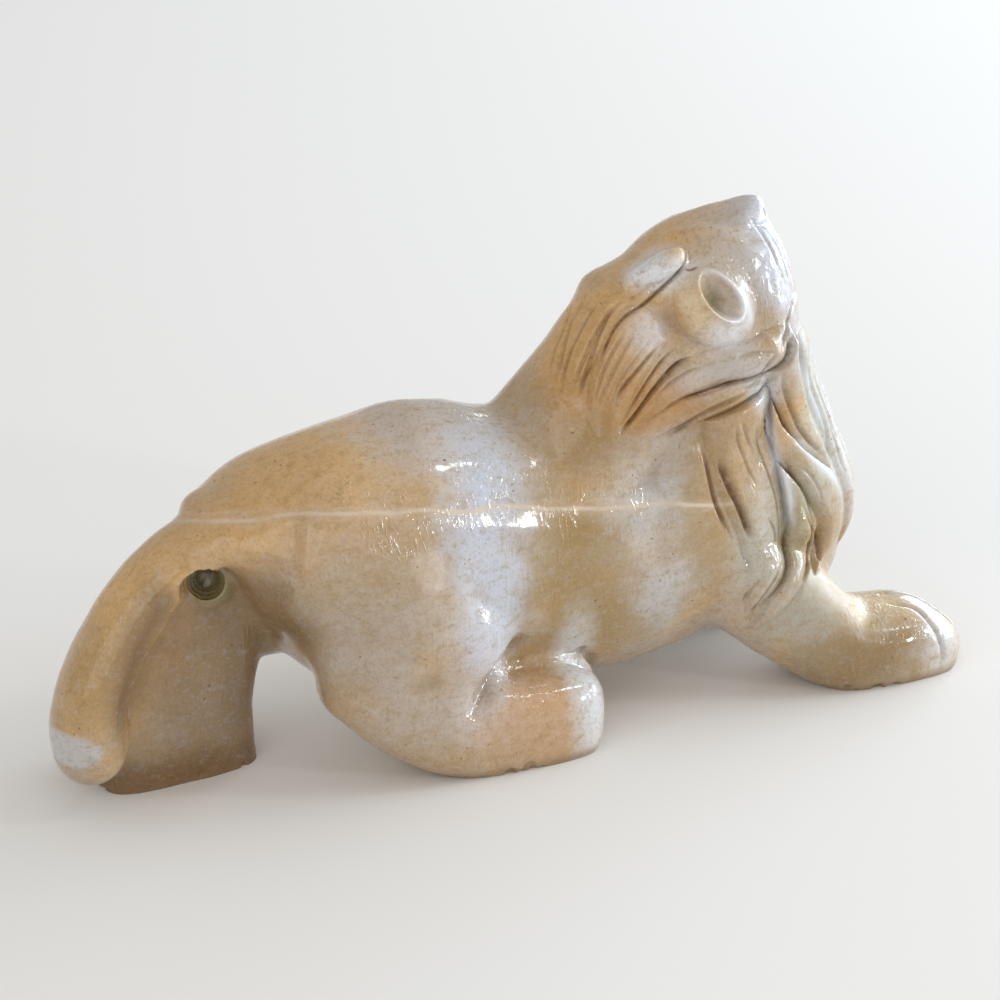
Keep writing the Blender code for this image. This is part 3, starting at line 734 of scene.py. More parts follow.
@dataclass(frozen=True)
class Forelegs(Part):
    """Forearms laid forward, the far one a little behind the near one."""

    masses: tuple[Union[Egg, Limb], ...] = (
        Limb((
            (22, -7.5, 14.8, 5.5, 5.8), (28.5, -9.2, 9.6, 6, 6.1), (35, -11, 4.2, 6.3, 5.3),
            (40, -11.6, 3.4, 6.5, 5.1), (43.5, -11.6, 3, 6.4, 5.1), (46.2, -11.5, 1.9, 6.2, 4.5),
        ), square=2.6),
        Limb((
            (20, 7.5, 14, 5.5, 6.2), (25, 8.6, 8.6, 5.6, 6), (30, 9.4, 4.4, 5.6, 5.2),
            (35, 9.8, 3.4, 5.7, 5.2), (39.5, 10, 2.4, 5.6, 4.8),
        ), square=2.5),
    )
    cuts: tuple[Cut, ...] = (
        Cut(((40.9, -12.6, 8.4), (43.5, -13.9, 7.4), (44.6, -16, 6.6), (45.4, -17.3, 5), (45.7, -17.7, 3.2),
             (45.2, -17.7, 1.4)), 0.35, 0.5, 0.15),
        Cut(((41.4, -9.8, 8.8), (46, -11, 7.8), (49, -14.3, 4.8), (49.4, -15.4, 3.1), (48.9, -15.8, 1.2)),
            0.35, 0.6, 0.25),
        Cut(((42, -7, 8.4), (47, -7.6, 7.2), (50.6, -8, 4.4), (51.4, -8, 1)), 0.4, 0.8, 0.3),
        *(Cut(((34.5, y, 8.2), (38.6, y, 7.2), (42.4, y, 4.6), (44.4, y, 1)), 0.4, 0.9, 0.3)
          for y in (8, 11.8)),
    )


@dataclass(frozen=True)
class HindLegs(Part):
    """The near thigh folded over its foot, and the far leg stretched back."""

    masses: tuple[Union[Egg, Limb], ...] = (
        Egg((-17.8, -6.2, 19.4), (14.6, 9.2, 9.9), pitch=-50),
        Egg((-14, -9.4, 15.6), (8, 6, 7.2), pitch=-70),
        Egg((-20, -7.6, 15.6), (9.2, 7.2, 7.6)),
        Limb((
            (-25, -8.6, 13, 4.6, 4.8), (-18.5, -9.4, 8.2, 5.8, 5.8), (-12, -9.7, 5, 6.3, 6),
            (-5, -9.8, 4, 6.6, 6), (0.5, -9.8, 3.8, 6.4, 6),
        ), square=3.4, blunt=0.65),
        Egg((-28, 6.2, 21), (12.5, 7.3, 11), pitch=15),
        Limb((
            (-34.5, 5.3, 23, 6.3, 5), (-38, 5.3, 16.5, 6.3, 7.4), (-40.6, 5.3, 9, 6.3, 8.6),
            (-41.2, 5.3, 4, 6.3, 9.1), (-41.2, 5.3, -3, 6.3, 9.3),
        ), square=4.5),
    )
    cuts: tuple[Cut, ...] = (
        Cut(((-5.6, -11.8, 15), (-7.2, -12.8, 12.8), (-10, -13.9, 11.8), (-11.9, -14.6, 10.3),
             (-14.4, -15.6, 8.4)), 1.3, 1.2, 0.1),
        *(Cut(((-1, y, 10), (3, y, 8.6), (4.8, y, 4), (4.8, y, 0.5)), 0.6, 0.8) for y in (-11.6, -7.8)),
    )


@dataclass(frozen=True)
class Tail(Part):
    """Thick tail laid down the back of the stretched leg, widest at its tip."""

    masses: tuple[Union[Egg, Limb], ...] = (
        Limb((
            (-35, 0, 29.4, 4.8, 3.1), (-41.9, -0.4, 26.8, 4.8, 3.2), (-47.2, -0.5, 21.6, 4.9, 3.5),
            (-50.8, -0.5, 15.6, 4.9, 3.8), (-52.5, -0.5, 9.8, 4.9, 4.1), (-52.4, -0.5, 6.8, 4.6, 4.1),
        )),
    )
    cuts: tuple[Cut, ...] = (
        Cut(((-36, -2, 25.6), (-39.6, -1.4, 25.4), (-43, -1.4, 22.8), (-45.8, -1.4, 19), (-47.4, -1.4, 14.6),
             (-48.2, -1.4, 8.6)), 0.9, 1.1, 0.4),
        Cut(((-41.5, -5, 26.4), (-44.8, -5.1, 24), (-47.2, -5.1, 20), (-49.2, -4.9, 14.5), (-50, -4.8, 9)),
            1.5, 0.5, 0.4),
    )


@dataclass(frozen=True)
class HandWork:
    """What the hand leaves: slow wobble of the polish and small chips along the soles."""

    seed: int = 7
    waves: int = 16
    wobble: float = 0.03
    wave_length: tuple[float, float] = (3.5, 8.0)
    chips: int = 46
    chip_radius: tuple[float, float] = (0.35, 0.9)
    chip_depth: tuple[float, float] = (0.25, 0.6)
    rim_height: float = 0.3
    rim_reach: float = 0.5
    rim_facing: float = 0.2

    def carve(self, skin: Skin) -> None:
        """Add both to the skin.

        Args:
            skin: The skin that takes them.
        """
        chance = np.random.default_rng(self.seed)
        ways = chance.normal(size=(self.waves, 3))
        ways /= np.linalg.norm(ways, axis=1)[:, None]
        lengths = chance.uniform(*self.wave_length, self.waves)
        phases = chance.uniform(0, 2 * math.pi, self.waves)
        for way, length, phase in zip(ways, lengths, phases):
            wave = np.sin(skin.points @ way * (2 * math.pi / length) + phase)
            skin.height += self.wobble * wave * math.sqrt(2 / self.waves)
        low = np.abs(skin.points[:, 2] - self.rim_height) < self.rim_reach
        rim = np.flatnonzero(low & (skin.normals[:, 2] < self.rim_facing))
        for index in chance.choice(rim, self.chips, replace=False):
            radius = chance.uniform(*self.chip_radius)
            depth = chance.uniform(*self.chip_depth)
            gap = np.linalg.norm(skin.points - skin.points[index], axis=1) / radius
            skin.height -= np.where(gap < 1, depth * (1 - gap**2), 0)


@dataclass(frozen=True)
class DrilledPit:
    """The carver's blind drilling into the leg beside the tail, with its spiral marks."""

    place: Triple = (-38.5, -1.1, 23.9)
    direction: Triple = (0.42, 0.85, -0.22)
    diameter: float = 0.0022
    mouth: float = 0.0010
    depth: float = 0.0026
    thread: float = 0.00075
    thread_depth: float = 0.0001
    sides: int = 40
    rings: int = 90
    face_radius: float = 3.4
    face_edge: float = 1.2
    mouth_limit: float = 1.5
    point: float = 0.4
    run_out: float = 3.0

    def face(self, skin: Skin) -> None:
        """Work the skin around the pit flat and square to the drill.

        Args:
            skin: The skin that the pit will be drilled in.
        """
        way = np.array(Vector(self.direction).normalized())
        offset = skin.points - self.place
        along = offset @ way
        away = np.linalg.norm(offset - along[:, None] * way, axis=1)
        share = np.clip((self.face_radius - away) / self.face_edge, 0, 1) * (np.abs(along) < self.face_radius)
        skin.points -= way * (along * share)[:, None]

    def sink(self, obj: bpy.types.Object, place: Matrix) -> None:
        """Cut the pit out of the finished figure.

        Args:
            obj: The figure, at its real size.
            place: The matrix from carver's units to the real place.
        """
        mesh = self._drill()
        drill = bpy.data.objects.new("drill", mesh)
        drill.location = place @ Vector(self.place)
        drill.rotation_mode = "QUATERNION"
        drill.rotation_quaternion = Vector(self.direction).normalized().to_track_quat("Z", "Y")
        bpy.context.collection.objects.link(drill)
        pit = obj.modifiers.new("drilled pit", "BOOLEAN")
        pit.operation = "DIFFERENCE"
        pit.solver = "EXACT"
        pit.object = drill
        apply_modifiers(obj, "pitted")
        bpy.data.objects.remove(drill)

    def _drill(self) -> bpy.types.Mesh:
        """Build the threaded cutter with its point at the pit's bottom.

        Returns:
            The cutter's mesh.
        """
        radius = self.diameter / 2
        start = -self.run_out * self.diameter
        bm = bmesh.new()
        loops = []
        for z in np.linspace(start, self.depth, self.rings):
            loop = []
            for k in range(self.sides):
                angle = 2 * math.pi * k / self.sides
                r = radius + self.thread_depth * math.sin(2 * math.pi * z / self.thread + angle)
                r += self.mouth * min(max(1 - z / self.depth, 0), self.mouth_limit)
                loop.append(bm.verts.new((r * math.cos(angle), r * math.sin(angle), z)))
            loops.append(loop)
        low, high = bm.verts.new((0, 0, start)), bm.verts.new((0, 0, self.depth + radius * self.point))
        close_tube(bm, loops, low, high)
        mesh = bpy.data.meshes.new("drill")
        bm.to_mesh(mesh)
        bm.free()
        return mesh


def apply_modifiers(obj: bpy.types.Object, name: str) -> None:
    """Make the object's modified mesh its own.

    Args:
        obj: The object.
        name: The new mesh's name.
    """
    graph = bpy.context.evaluated_depsgraph_get()
    mesh = bpy.data.meshes.new_from_object(obj.evaluated_get(graph))
    mesh.name = name
    obj.modifiers.clear()
    obj.data = mesh


@dataclass
class Lion:
    """The carved figure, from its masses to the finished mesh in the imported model's box."""

    name: str = "carved_lion"
    grain: float = 0.8
    soften_share: float = 0.5
    soften_passes: int = 8
    refine_levels: int = 2
    ease_passes: int = 1
    plain_triangles: int = 46000
    fine_triangles: int = 142000
    fine_mane: tuple[float, float] = (1.0, 32.5)
    fine_chest: tuple[float, float] = (14.5, 9.5)
    fine_pit: float = 4.5
    hollow_passes: int = 14
    sharp_angle: float = 50.0
    trunk: Trunk = field(default_factory=Trunk)
    head: Head = field(default_factory=Head)
    mane: Mane = field(default_factory=Mane)
    forelegs: Forelegs = field(default_factory=Forelegs)
    hind_legs: HindLegs = field(default_factory=HindLegs)
    tail: Tail = field(default_factory=Tail)
    hand: HandWork = field(default_factory=HandWork)
    pit: DrilledPit = field(default_factory=DrilledPit)

    def build(self, low: Vector, high: Vector) -> tuple[bpy.types.Object, Matrix]:
        """Carve the lion.

        Args:
            low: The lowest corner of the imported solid.
            high: Its highest corner.

        Returns:
            The figure, and the matrix from carver's units to the real place.
        """
        obj = self._rough()
        self._refine(obj)
        LOG.info("rough skin: %d points", len(obj.data.vertices))
        skin = Skin(obj)
        self.mane.carve(skin, self.head.place)
        self.head.carve(skin)
        self.forelegs.carve(skin)
        self.hind_legs.carve(skin)
        self.tail.carve(skin)
        self.hand.carve(skin)
        self.pit.face(skin)
        skin.carve()
        LOG.info("carved")
        self._thin(obj)
        self._set_down(obj.data)
        place = self._fit(obj.data, low, high)
        self.pit.sink(obj, place)
        self._mark_hollows(obj.data)
        obj.data.shade_smooth()
        obj.data.set_sharp_from_angle(angle=math.radians(self.sharp_angle))
        LOG.info("finished: %d triangles", sum(len(p.vertices) - 2 for p in obj.data.polygons))
        return obj, place

    def _rough(self) -> bpy.types.Object:
        """Join the masses under one soft skin.

        Returns:
            The object that holds it.
        """
        bm = bmesh.new()
        for part in (self.trunk, self.head, self.hind_legs, self.tail, self.forelegs):
            part.block_out(bm)
        mesh = bpy.data.meshes.new("rough")
        bm.to_mesh(mesh)
        bm.free()
        obj = bpy.data.objects.new(self.name, mesh)
        bpy.context.collection.objects.link(obj)
        skin = obj.modifiers.new("skin", "REMESH")
        skin.mode = "VOXEL"
        skin.voxel_size = self.grain
        soften = obj.modifiers.new("soften", "SMOOTH")
        soften.factor = self.soften_share
        soften.iterations = self.soften_passes
        refine = obj.modifiers.new("refine", "SUBSURF")
        refine.levels = refine.render_levels = self.refine_levels
        apply_modifiers(obj, "skin")
        return obj

    def _finely_carved(self, points: np.ndarray) -> np.ndarray:
        """Tell which points lie where the hair and the face are carved.

        Args:
            points: Points in carver's units.

        Returns:
            A mask.
        """
        fine = np.linalg.norm(points - self.pit.place, axis=1) < self.fine_pit
        for x, z in (self.fine_mane, self.fine_chest):
            fine |= (points[:, 0] > x) & (points[:, 2] > z)
        return fine

    def _refine(self, obj: bpy.types.Object) -> None:
        """Divide the skin once more where it is finely carved.

        Args:
            obj: The uncarved figure.
        """
        bm = bmesh.new()
        bm.from_mesh(obj.data)
        fine = self._finely_carved(np.array([vert.co for vert in bm.verts]))
        edges = [edge for edge in bm.edges if fine[edge.verts[0].index] and fine[edge.verts[1].index]]
        bmesh.ops.subdivide_edges(bm, edges=edges, cuts=1, use_grid_fill=True)
        bm.to_mesh(obj.data)
        bm.free()

    def _thin(self, obj: bpy.types.Object) -> None:
        """Ease the cut edges and thin the triangles, first where the form is plain.

        Args:
            obj: The carved figure.
        """
        ease = obj.modifiers.new("ease", "SMOOTH")
        ease.factor = self.soften_share
        ease.iterations = self.ease_passes
        apply_modifiers(obj, "eased")
        for fine, target in ((False, self.plain_triangles), (True, self.fine_triangles)):
            triangles = read(obj.data.polygons, "loop_total", 1, int)[:, 0] - 2
            here = self._finely_carved(read(obj.data.polygons, "center")) == fine
            total, part = triangles.sum(), triangles[here].sum()
            chosen = np.flatnonzero(self._finely_carved(read(obj.data.vertices, "co")) == fine)
            obj.vertex_groups.clear()
            group = obj.vertex_groups.new(name="thin here")
            group.add(chosen.tolist(), 1.0, "REPLACE")
            thin = obj.modifiers.new("thin out", "DECIMATE")
            thin.vertex_group = group.name
            thin.vertex_group_factor = 1.0
            thin.ratio = min(1.0, (total - part + target) / total)
            apply_modifiers(obj, "thinned")
            LOG.info("thinned from %d to %d triangles", total, len(obj.data.polygons))
        obj.vertex_groups.clear()

    def _set_down(self, mesh: bpy.types.Mesh) -> None:
        """Cut the feet off flat at the floor and close the cuts.

        Args:
            mesh: The figure's mesh.
        """
        bm = bmesh.new()
        bm.from_mesh(mesh)
        everything = bm.verts[:] + bm.edges[:] + bm.faces[:]
        bmesh.ops.bisect_plane(bm, geom=everything, plane_co=(0, 0, 0), plane_no=(0, 0, -1), clear_outer=True)
        bmesh.ops.holes_fill(bm, edges=[edge for edge in bm.edges if edge.is_boundary])
        bmesh.ops.triangulate(bm, faces=bm.faces[:])
        bm.to_mesh(mesh)
        bm.free()

    def _fit(self, mesh: bpy.types.Mesh, low: Vector, high: Vector) -> Matrix:
        """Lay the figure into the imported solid's box by its length.

        Args:
            mesh: The figure's mesh, in carver's units.
            low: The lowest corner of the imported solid.
            high: Its highest corner.

        Returns:
            The matrix from carver's units to the real place.
        """
        co = read(mesh.vertices, "co")
        least, most = co.min(0), co.max(0)
        unit = (high.x - low.x) / (most[0] - least[0])
        middle = Vector(((least[0] + most[0]) / 2, (least[1] + most[1]) / 2, 0))
        target = Vector(((low.x + high.x) / 2, (low.y + high.y) / 2, low.z))
        place = Matrix.Translation(target) @ Matrix.Scale(unit, 4) @ Matrix.Translation(-middle)
        mesh.transform(place)
        return place

    def _mark_hollows(self, mesh: bpy.types.Mesh) -> None:
        """Store how deep each point lies below its smoothed surroundings, in millimetres, for the painted
        shade in recesses.

        Args:
            mesh: The figure's mesh at its real size.
        """
        co, normal = read(mesh.vertices, "co"), read(mesh.vertices, "normal")
        count = len(co)
        ends = read(mesh.edges, "vertices", 2, int)
        both = np.concatenate([ends, ends[:, ::-1]])
        degree = np.maximum(np.bincount(both[:, 0], minlength=count), 1)[:, None]
        soft = co.copy()
        for _ in range(self.hollow_passes):
            total = np.stack([np.bincount(both[:, 0], soft[both[:, 1], k], count) for k in range(3)], 1)
            soft = total / degree
        depth = np.einsum("ij,ij->i", soft - co, normal) * MILLIMETRES
        attribute = mesh.attributes.new("hollow", "FLOAT", "POINT")
        attribute.data.foreach_set("value", depth.astype(np.float32))


# Finishes


class Channel:
    """A number, vector or colour that flows through a finish's nodes."""

    def __init__(self, bench: "Bench", socket: bpy.types.NodeSocket) -> None:
        """Wrap an output socket of a node that was made on the bench."""
        self.bench = bench
        self.socket = socket

    def _math(self, operation: str, *values: Union["Channel", float]) -> "Channel":
        """Add a Math node with its inputs in order."""
        return self.bench.node("ShaderNodeMath", {"operation": operation}, dict(enumerate(values)))

    def __add__(self, other: Union["Channel", float]) -> "Channel":
        """Add."""
        return self._math("ADD", self, other)

    def __radd__(self, other: float) -> "Channel":
        """Add, reflected."""
        return self._math("ADD", other, self)

    def __sub__(self, other: Union["Channel", float]) -> "Channel":
        """Subtract."""
        return self._math("SUBTRACT", self, other)

    def __rsub__(self, other: float) -> "Channel":
        """Subtract, reflected."""
        return self._math("SUBTRACT", other, self)

    def __mul__(self, other: Union["Channel", float]) -> "Channel":
        """Multiply."""
        return self._math("MULTIPLY", self, other)

    def __rmul__(self, other: float) -> "Channel":
        """Multiply, reflected."""
        return self._math("MULTIPLY", other, self)

    def size(self) -> "Channel":
        """Return the size without the sign."""
        return self._math("ABSOLUTE", self)

    def clamp(self) -> "Channel":
        """Hold the value between nought and one."""
        return self.bench.node("ShaderNodeClamp", {}, {0: self})

    def step(self, low: float, high: float, share: float = 1.0) -> "Channel":
        """Rise smoothly from nought at low to the share at high, or fall where low is the greater.

        Args:
            low: Where it is nought.
            high: Where it has its full share.
            share: The mask's most.

        Returns:
            The mask.
        """
        first, last = (0.0, 1.0) if low < high else (1.0, 0.0)
        values = {0: self, 1: min(low, high), 2: max(low, high), 3: first * share, 4: last * share}
        return self.bench.node("ShaderNodeMapRange", {"interpolation_type": "SMOOTHSTEP"}, values)


Key = Union[str, int]
Input = Union[Channel, float, Sequence[float]]


@dataclass(frozen=True)
class Bench:
    """Where a finish's nodes are made."""

    tree: bpy.types.NodeTree

    def node(
        self, kind: str, settings: Mapping[str, Any], inputs: Mapping[Key, Input], output: Key = 0
    ) -> Channel:
        """Add a node.

        Args:
            kind: Its type.
            settings: What is set on it first.
            inputs: The value or link of each socket.
            output: The socket that is returned.

        Returns:
            That socket's channel.
        """
        node = self.tree.nodes.new(kind)
        for name, value in settings.items():
            setattr(node, name, value)
        for key, value in inputs.items():
            if isinstance(value, Channel):
                self.tree.links.new(value.socket, node.inputs[key])
            else:
                node.inputs[key].default_value = value
        return Channel(self, node.outputs[output])

    def vector(self, operation: str, *values: Input, output: Key = 0) -> Channel:
        """Add a Vector Math node with its inputs in order."""
        return self.node("ShaderNodeVectorMath", {"operation": operation}, dict(enumerate(values)), output)

    def mix(self, share: Input, first: Input, second: Input) -> Channel:
        """Mix a share of the second colour into the first."""
        return self.node("ShaderNodeMix", {"data_type": "RGBA"}, {0: share, 6: first, 7: second}, 2)

    def noise(
        self, at: Channel, scale: float, detail: float = 2, rough: float = 0.5, output: int = 0
    ) -> Channel:
        """Add a cloudy noise of a scale, finer layers and their strength; output 1 is its colour."""
        values = {"Vector": at, "Scale": scale, "Detail": detail, "Roughness": rough}
        return self.node("ShaderNodeTexNoise", {}, values, output)


class Tint(Enum):
    """Colours of the stone, as linear light."""

    HONEY = (0.62, 0.385, 0.155, 1.0)
    TAN = (0.42, 0.285, 0.145, 1.0)
    AMBER = (0.44, 0.205, 0.04, 1.0)
    PEACH = (0.56, 0.35, 0.20, 1.0)
    LILAC = (0.45, 0.37, 0.30, 1.0)
    PALE = (0.52, 0.53, 0.56, 1.0)
    COOL = (0.57, 0.63, 0.76, 1.0)
    CHALK = (0.70, 0.74, 0.80, 1.0)
    SAGE = (0.50, 0.51, 0.45, 1.0)
    CREAM = (0.66, 0.52, 0.32, 1.0)
    ASH = (0.36, 0.34, 0.28, 1.0)
    OLIVE = (0.32, 0.215, 0.085, 1.0)
    MOSS = (0.27, 0.25, 0.13, 1.0)
    UMBER = (0.22, 0.135, 0.06, 1.0)
    # Deep brown: the painted shade along the grooves, and the darker bottoms of the hind feet.
    DEEP_BROWN = (0.15, 0.066, 0.016, 1.0)
    GRIME = (0.06, 0.042, 0.024, 1.0)
    VEIN = (0.62, 0.51, 0.40, 1.0)


@dataclass(frozen=True)
class Zone:
    """A soft-edged region of the stone in one tint."""

    centre: Triple
    radii: Triple
    tint: Tint
    strength: float = 0.8
    edge: float = 0.75

    def mask(self, bench: Bench, at: Channel) -> Channel:
        """Build the region's mask.

        Args:
            bench: Where its nodes are made.
            at: The point in carver's units.

        Returns:
            How much of the tint shows.
        """
        shrink = tuple(1 / radius for radius in self.radii)
        back = tuple(-middle / radius for middle, radius in zip(self.centre, self.radii))
        distance = bench.vector("LENGTH", bench.vector("MULTIPLY_ADD", at, shrink, back), output="Value")
        return distance.step(1 + self.edge, 1 - self.edge, self.strength)


@dataclass(frozen=True)
class Cloud:
    """A cloudy mask that rises to its share from low to high, or falls where low is the greater."""

    scale: float
    detail: float
    rough: float
    low: float
    high: float
    share: float = 1.0

    def mask(self, bench: Bench, at: Channel) -> Channel:
        """Build the mask at a point in carver's units."""
        return bench.noise(at, self.scale, self.detail, self.rough).step(self.low, self.high, self.share)


@dataclass(frozen=True)
class Fleck:
    """Clouds, stretched along the axes, that are laid over the stone in one tint."""

    tint: Tint
    cloud: Cloud
    stretch: Triple = (1.0, 1.0, 1.0)

    def lay(self, bench: Bench, at: Channel, colour: Input) -> Channel:
        """Lay them over the colour of the stone at a point in carver's units."""
        place = at if set(self.stretch) == {1.0} else bench.vector("MULTIPLY", at, self.stretch)
        return bench.mix(self.cloud.mask(bench, place), colour, self.tint.value)


@dataclass(frozen=True)
class Vein:
    """One straight pale vein in a plane through the stone, with a soft halo and a thin second line."""

    normal: Triple = (0.169, 0.422, 0.892)
    offset: float = 20.96
    width: float = 0.34
    core: float = 0.25
    ends: tuple[float, float, float, float] = (-46.0, -36.0, 18.0, 23.0)
    wander: tuple[float, float, float] = (0.12, 2, 1.6)
    broken: Cloud = Cloud(0.5, 4, 0.6, 0.3, 0.55, 0.45)
    least: float = 0.2
    halo: Triple = (1.1, 0.2, 0.25)
    second_gap: float = 0.9
    second: Triple = (0.3, 0.05, 0.3)
    second_cloud: Cloud = Cloud(0.1, 1, 0.5, 0.45, 0.6)

    def mask(self, bench: Bench, at: Channel) -> Channel:
        """Build the vein's mask.

        Args:
            bench: Where the nodes are made.
            at: The point in carver's units.

        Returns:
            How much of the vein shows.
        """
        x = bench.node("ShaderNodeSeparateXYZ", {}, {0: at}, "X")
        height = bench.vector("DOT_PRODUCT", at, self.normal, output="Value")
        scale, detail, reach = self.wander
        gap = (height - self.offset + (bench.noise(at, scale, detail) * reach - reach / 2)).size()
        left, full_left, full_right, right = self.ends
        ends = x.step(left, full_left) * x.step(right, full_right)
        vein = gap.step(self.width, self.width * self.core) * ends
        second = (gap - self.second_gap).size().step(*self.second) * self.second_cloud.mask(bench, at) * ends
        return vein * (self.broken.mask(bench, at) + self.least) + second + gap.step(*self.halo) * ends


@dataclass(frozen=True)
class PolishedStone:
    """Translucent stone in honey, lilac and white, with one straight pale vein."""

    zones: tuple[Zone, ...] = (
        Zone((-27, 0, 38), (15, 16, 9), Tint.HONEY, 0.9),
        Zone((-34, -4, 31), (6, 6, 5), Tint.HONEY, 0.8),
        Zone((-46, -1, 24), (9, 8, 12), Tint.HONEY, 0.9),
        Zone((-51, -3, 16), (5, 6, 6), Tint.OLIVE, 0.5),
        # These three paint shade down the near edge of the tail, where it turns away from the light.
        Zone((-45.4, -5.1, 23.9), (2, 3, 3), Tint.UMBER, 0.85),
        Zone((-47.8, -5.1, 19.8), (2, 3, 4), Tint.UMBER, 0.85),
        Zone((-49.5, -4.8, 14), (2, 3, 5), Tint.UMBER, 0.85),
        Zone((-16, -2, 38), (5, 9, 4), Tint.PALE, 0.6),
        Zone((-24, -14, 21), (9, 7, 7), Tint.LILAC, 0.8),
        Zone((-37, 1, 13), (8, 6, 15), Tint.UMBER, 0.8),
        Zone((-33, -3, 22), (4, 5, 6), Tint.UMBER, 0.7),
        # Painted shade under the near haunch.
        Zone((-31.2, -7.5, 19.5), (3, 3, 5), Tint.UMBER, 0.95),
        Zone((-22, -13, 28), (6, 5, 5), Tint.TAN, 0.5),
        # These two darken the hind feet towards the bottom.
        Zone((-43, -2, 0), (15, 12, 4.5), Tint.UMBER, 0.9),
        Zone((-42, -2, 0), (15, 12, 3), Tint.DEEP_BROWN, 0.8),
        Zone((-8, -5, 31), (5, 16, 13), Tint.PALE, 0.8, 0.8),
        Zone((-10, -9, 31), (5.5, 8, 7), Tint.COOL, 0.7),
        Zone((-10.5, -15, 18), (5, 6, 8), Tint.COOL, 0.7, 0.7),
        Zone((-13.5, -15.6, 8.5), (3, 3, 3), Tint.COOL, 0.6),
        Zone((-18, -15, 9), (8, 6, 5), Tint.LILAC, 0.55),
        Zone((-3, -12, 28), (5, 6, 6), Tint.TAN, 0.45),
        Zone((0.5, -12.5, 22.5), (5, 8, 5.5), Tint.OLIVE, 0.95),
        Zone((3, -12.5, 14), (8, 8, 6), Tint.OLIVE, 0.95),
        Zone((12.5, -12.5, 16.5), (4.5, 6, 5), Tint.PALE, 0.7),
        Zone((10, -11, 27), (6, 6, 5), Tint.PALE, 0.7),
        Zone((16.5, -12.4, 23), (3.5, 5, 9), Tint.OLIVE, 0.75),
        Zone((4.5, -6, 37), (6, 8, 5.5), Tint.TAN, 0.9),
        Zone((3.4, -5, 39), (2.4, 5, 3), Tint.AMBER, 0.55),
        Zone((5, -1, 44.5), (4.5, 7, 6), Tint.HONEY, 0.9),
        Zone((7, -7, 42), (5, 6, 7), Tint.AMBER, 0.5),
        Zone((7, -9.5, 35), (5, 5, 3.5), Tint.OLIVE, 0.6),
        Zone((12, -10, 38), (6, 3.5, 3.4), Tint.AMBER, 0.7, 0.5),
        Zone((11, -10, 33), (5, 4, 2.4), Tint.LILAC, 0.6),
        Zone((12, -4, 47), (5, 8, 5), Tint.HONEY, 0.7),
        Zone((17, -2, 55), (7, 8, 4), Tint.HONEY, 0.85),
        Zone((24, -7, 52.5), (4.5, 7, 6), Tint.PALE, 0.7),
        Zone((28, -5, 51), (3, 9, 9), Tint.COOL, 0.85),
        Zone((13.7, -5.5, 52), (4, 4, 2.1), Tint.CHALK, 0.95, 0.6),
        Zone((16.2, -9.3, 47.4), (2.1, 3.6, 3.6), Tint.CREAM, 0.8),
        # Pale stone on the eye dome's lower front, brightened further as a painted highlight.
        Zone((20.4, -10.4, 45), (3.4, 3, 2.4), Tint.CHALK, 0.7),
        Zone((13.9, -8.6, 46.4), (1.5, 3, 2.6), Tint.AMBER, 0.5, 0.6),
        Zone((25, -11, 45.2), (2.6, 3, 1.8), Tint.TAN, 0.6),
        Zone((11.5, -8.5, 46), (2.2, 3, 2.4), Tint.CHALK, 0.6),
        # Painted shade in the eye hollow, towards its back.
        Zone((18.9, -7.6, 48), (1.1, 2, 1.7), Tint.MOSS, 0.8, 0.7),
        Zone((20, -11, 40.5), (6, 3, 2.2), Tint.PALE, 0.7),
        # Pale lock roots under the cheek lock, painted lighter to lift the shade of the recess there.
        Zone((24.6, -10.4, 37.6), (2, 2, 2.6), Tint.CHALK, 0.8),
        Zone((18.6, -12, 29), (2.8, 4, 9), Tint.TAN, 0.9),
        Zone((21.5, -12.5, 29), (3, 4, 6), Tint.TAN, 0.7),
        Zone((23.5, -12.5, 19), (3, 4, 6), Tint.SAGE, 0.6),
        Zone((29, -12, 21), (3, 5, 7), Tint.MOSS, 0.6),
        Zone((33, -7, 33), (4, 7, 13), Tint.SAGE, 0.9),
        # Pale front of the mane, painted lighter still as a sheen from the light on the right.
        Zone((38, -4, 34), (5, 9, 17), Tint.CHALK, 0.75),
        Zone((29.5, -9.5, 41), (2, 3, 4), Tint.PALE, 0.8),
        Zone((33.5, -11, 18), (3, 4, 6), Tint.TAN, 0.4),
        Zone((23, -13, 11), (3, 4, 3.4), Tint.PEACH, 0.5),
        Zone((28, -15, 10), (6, 7, 5), Tint.ASH, 0.85),
        Zone((35, -16.5, 4.5), (8, 5, 3.8), Tint.OLIVE, 1.0),
        Zone((35, -17, 4), (7, 5, 4), Tint.UMBER, 0.6),
        Zone((39, -12, 8.6), (5, 4, 1.8), Tint.CREAM, 0.6),
        # Painted sheen on the end of the near forepaw.
        Zone((46, -15, 5), (3, 6, 5), Tint.CHALK, 0.7),
        Zone((-6, -15, 6), (6, 6, 5), Tint.PEACH, 0.75),
        # Painted highlight on the front of the near hind foot.
        Zone((0.8, -14, 7), (2.4, 8, 8), Tint.CHALK, 0.8),
        Zone((-37.6, 0.8, 23.4), (2.5, 4.4, 2.3), Tint.MOSS, 0.95, 0.3),
        Zone((-55.6, -3, 8.6), (3.2, 6, 2), Tint.PALE, 0.85, 0.2),
    )
    clouds: tuple[Fleck, ...] = (
        Fleck(Tint.LILAC, Cloud(0.07, 4, 0.55, 0.38, 0.62)),
        Fleck(Tint.HONEY, Cloud(0.11, 3, 0.5, 0.5, 0.68, 0.6)),
    )
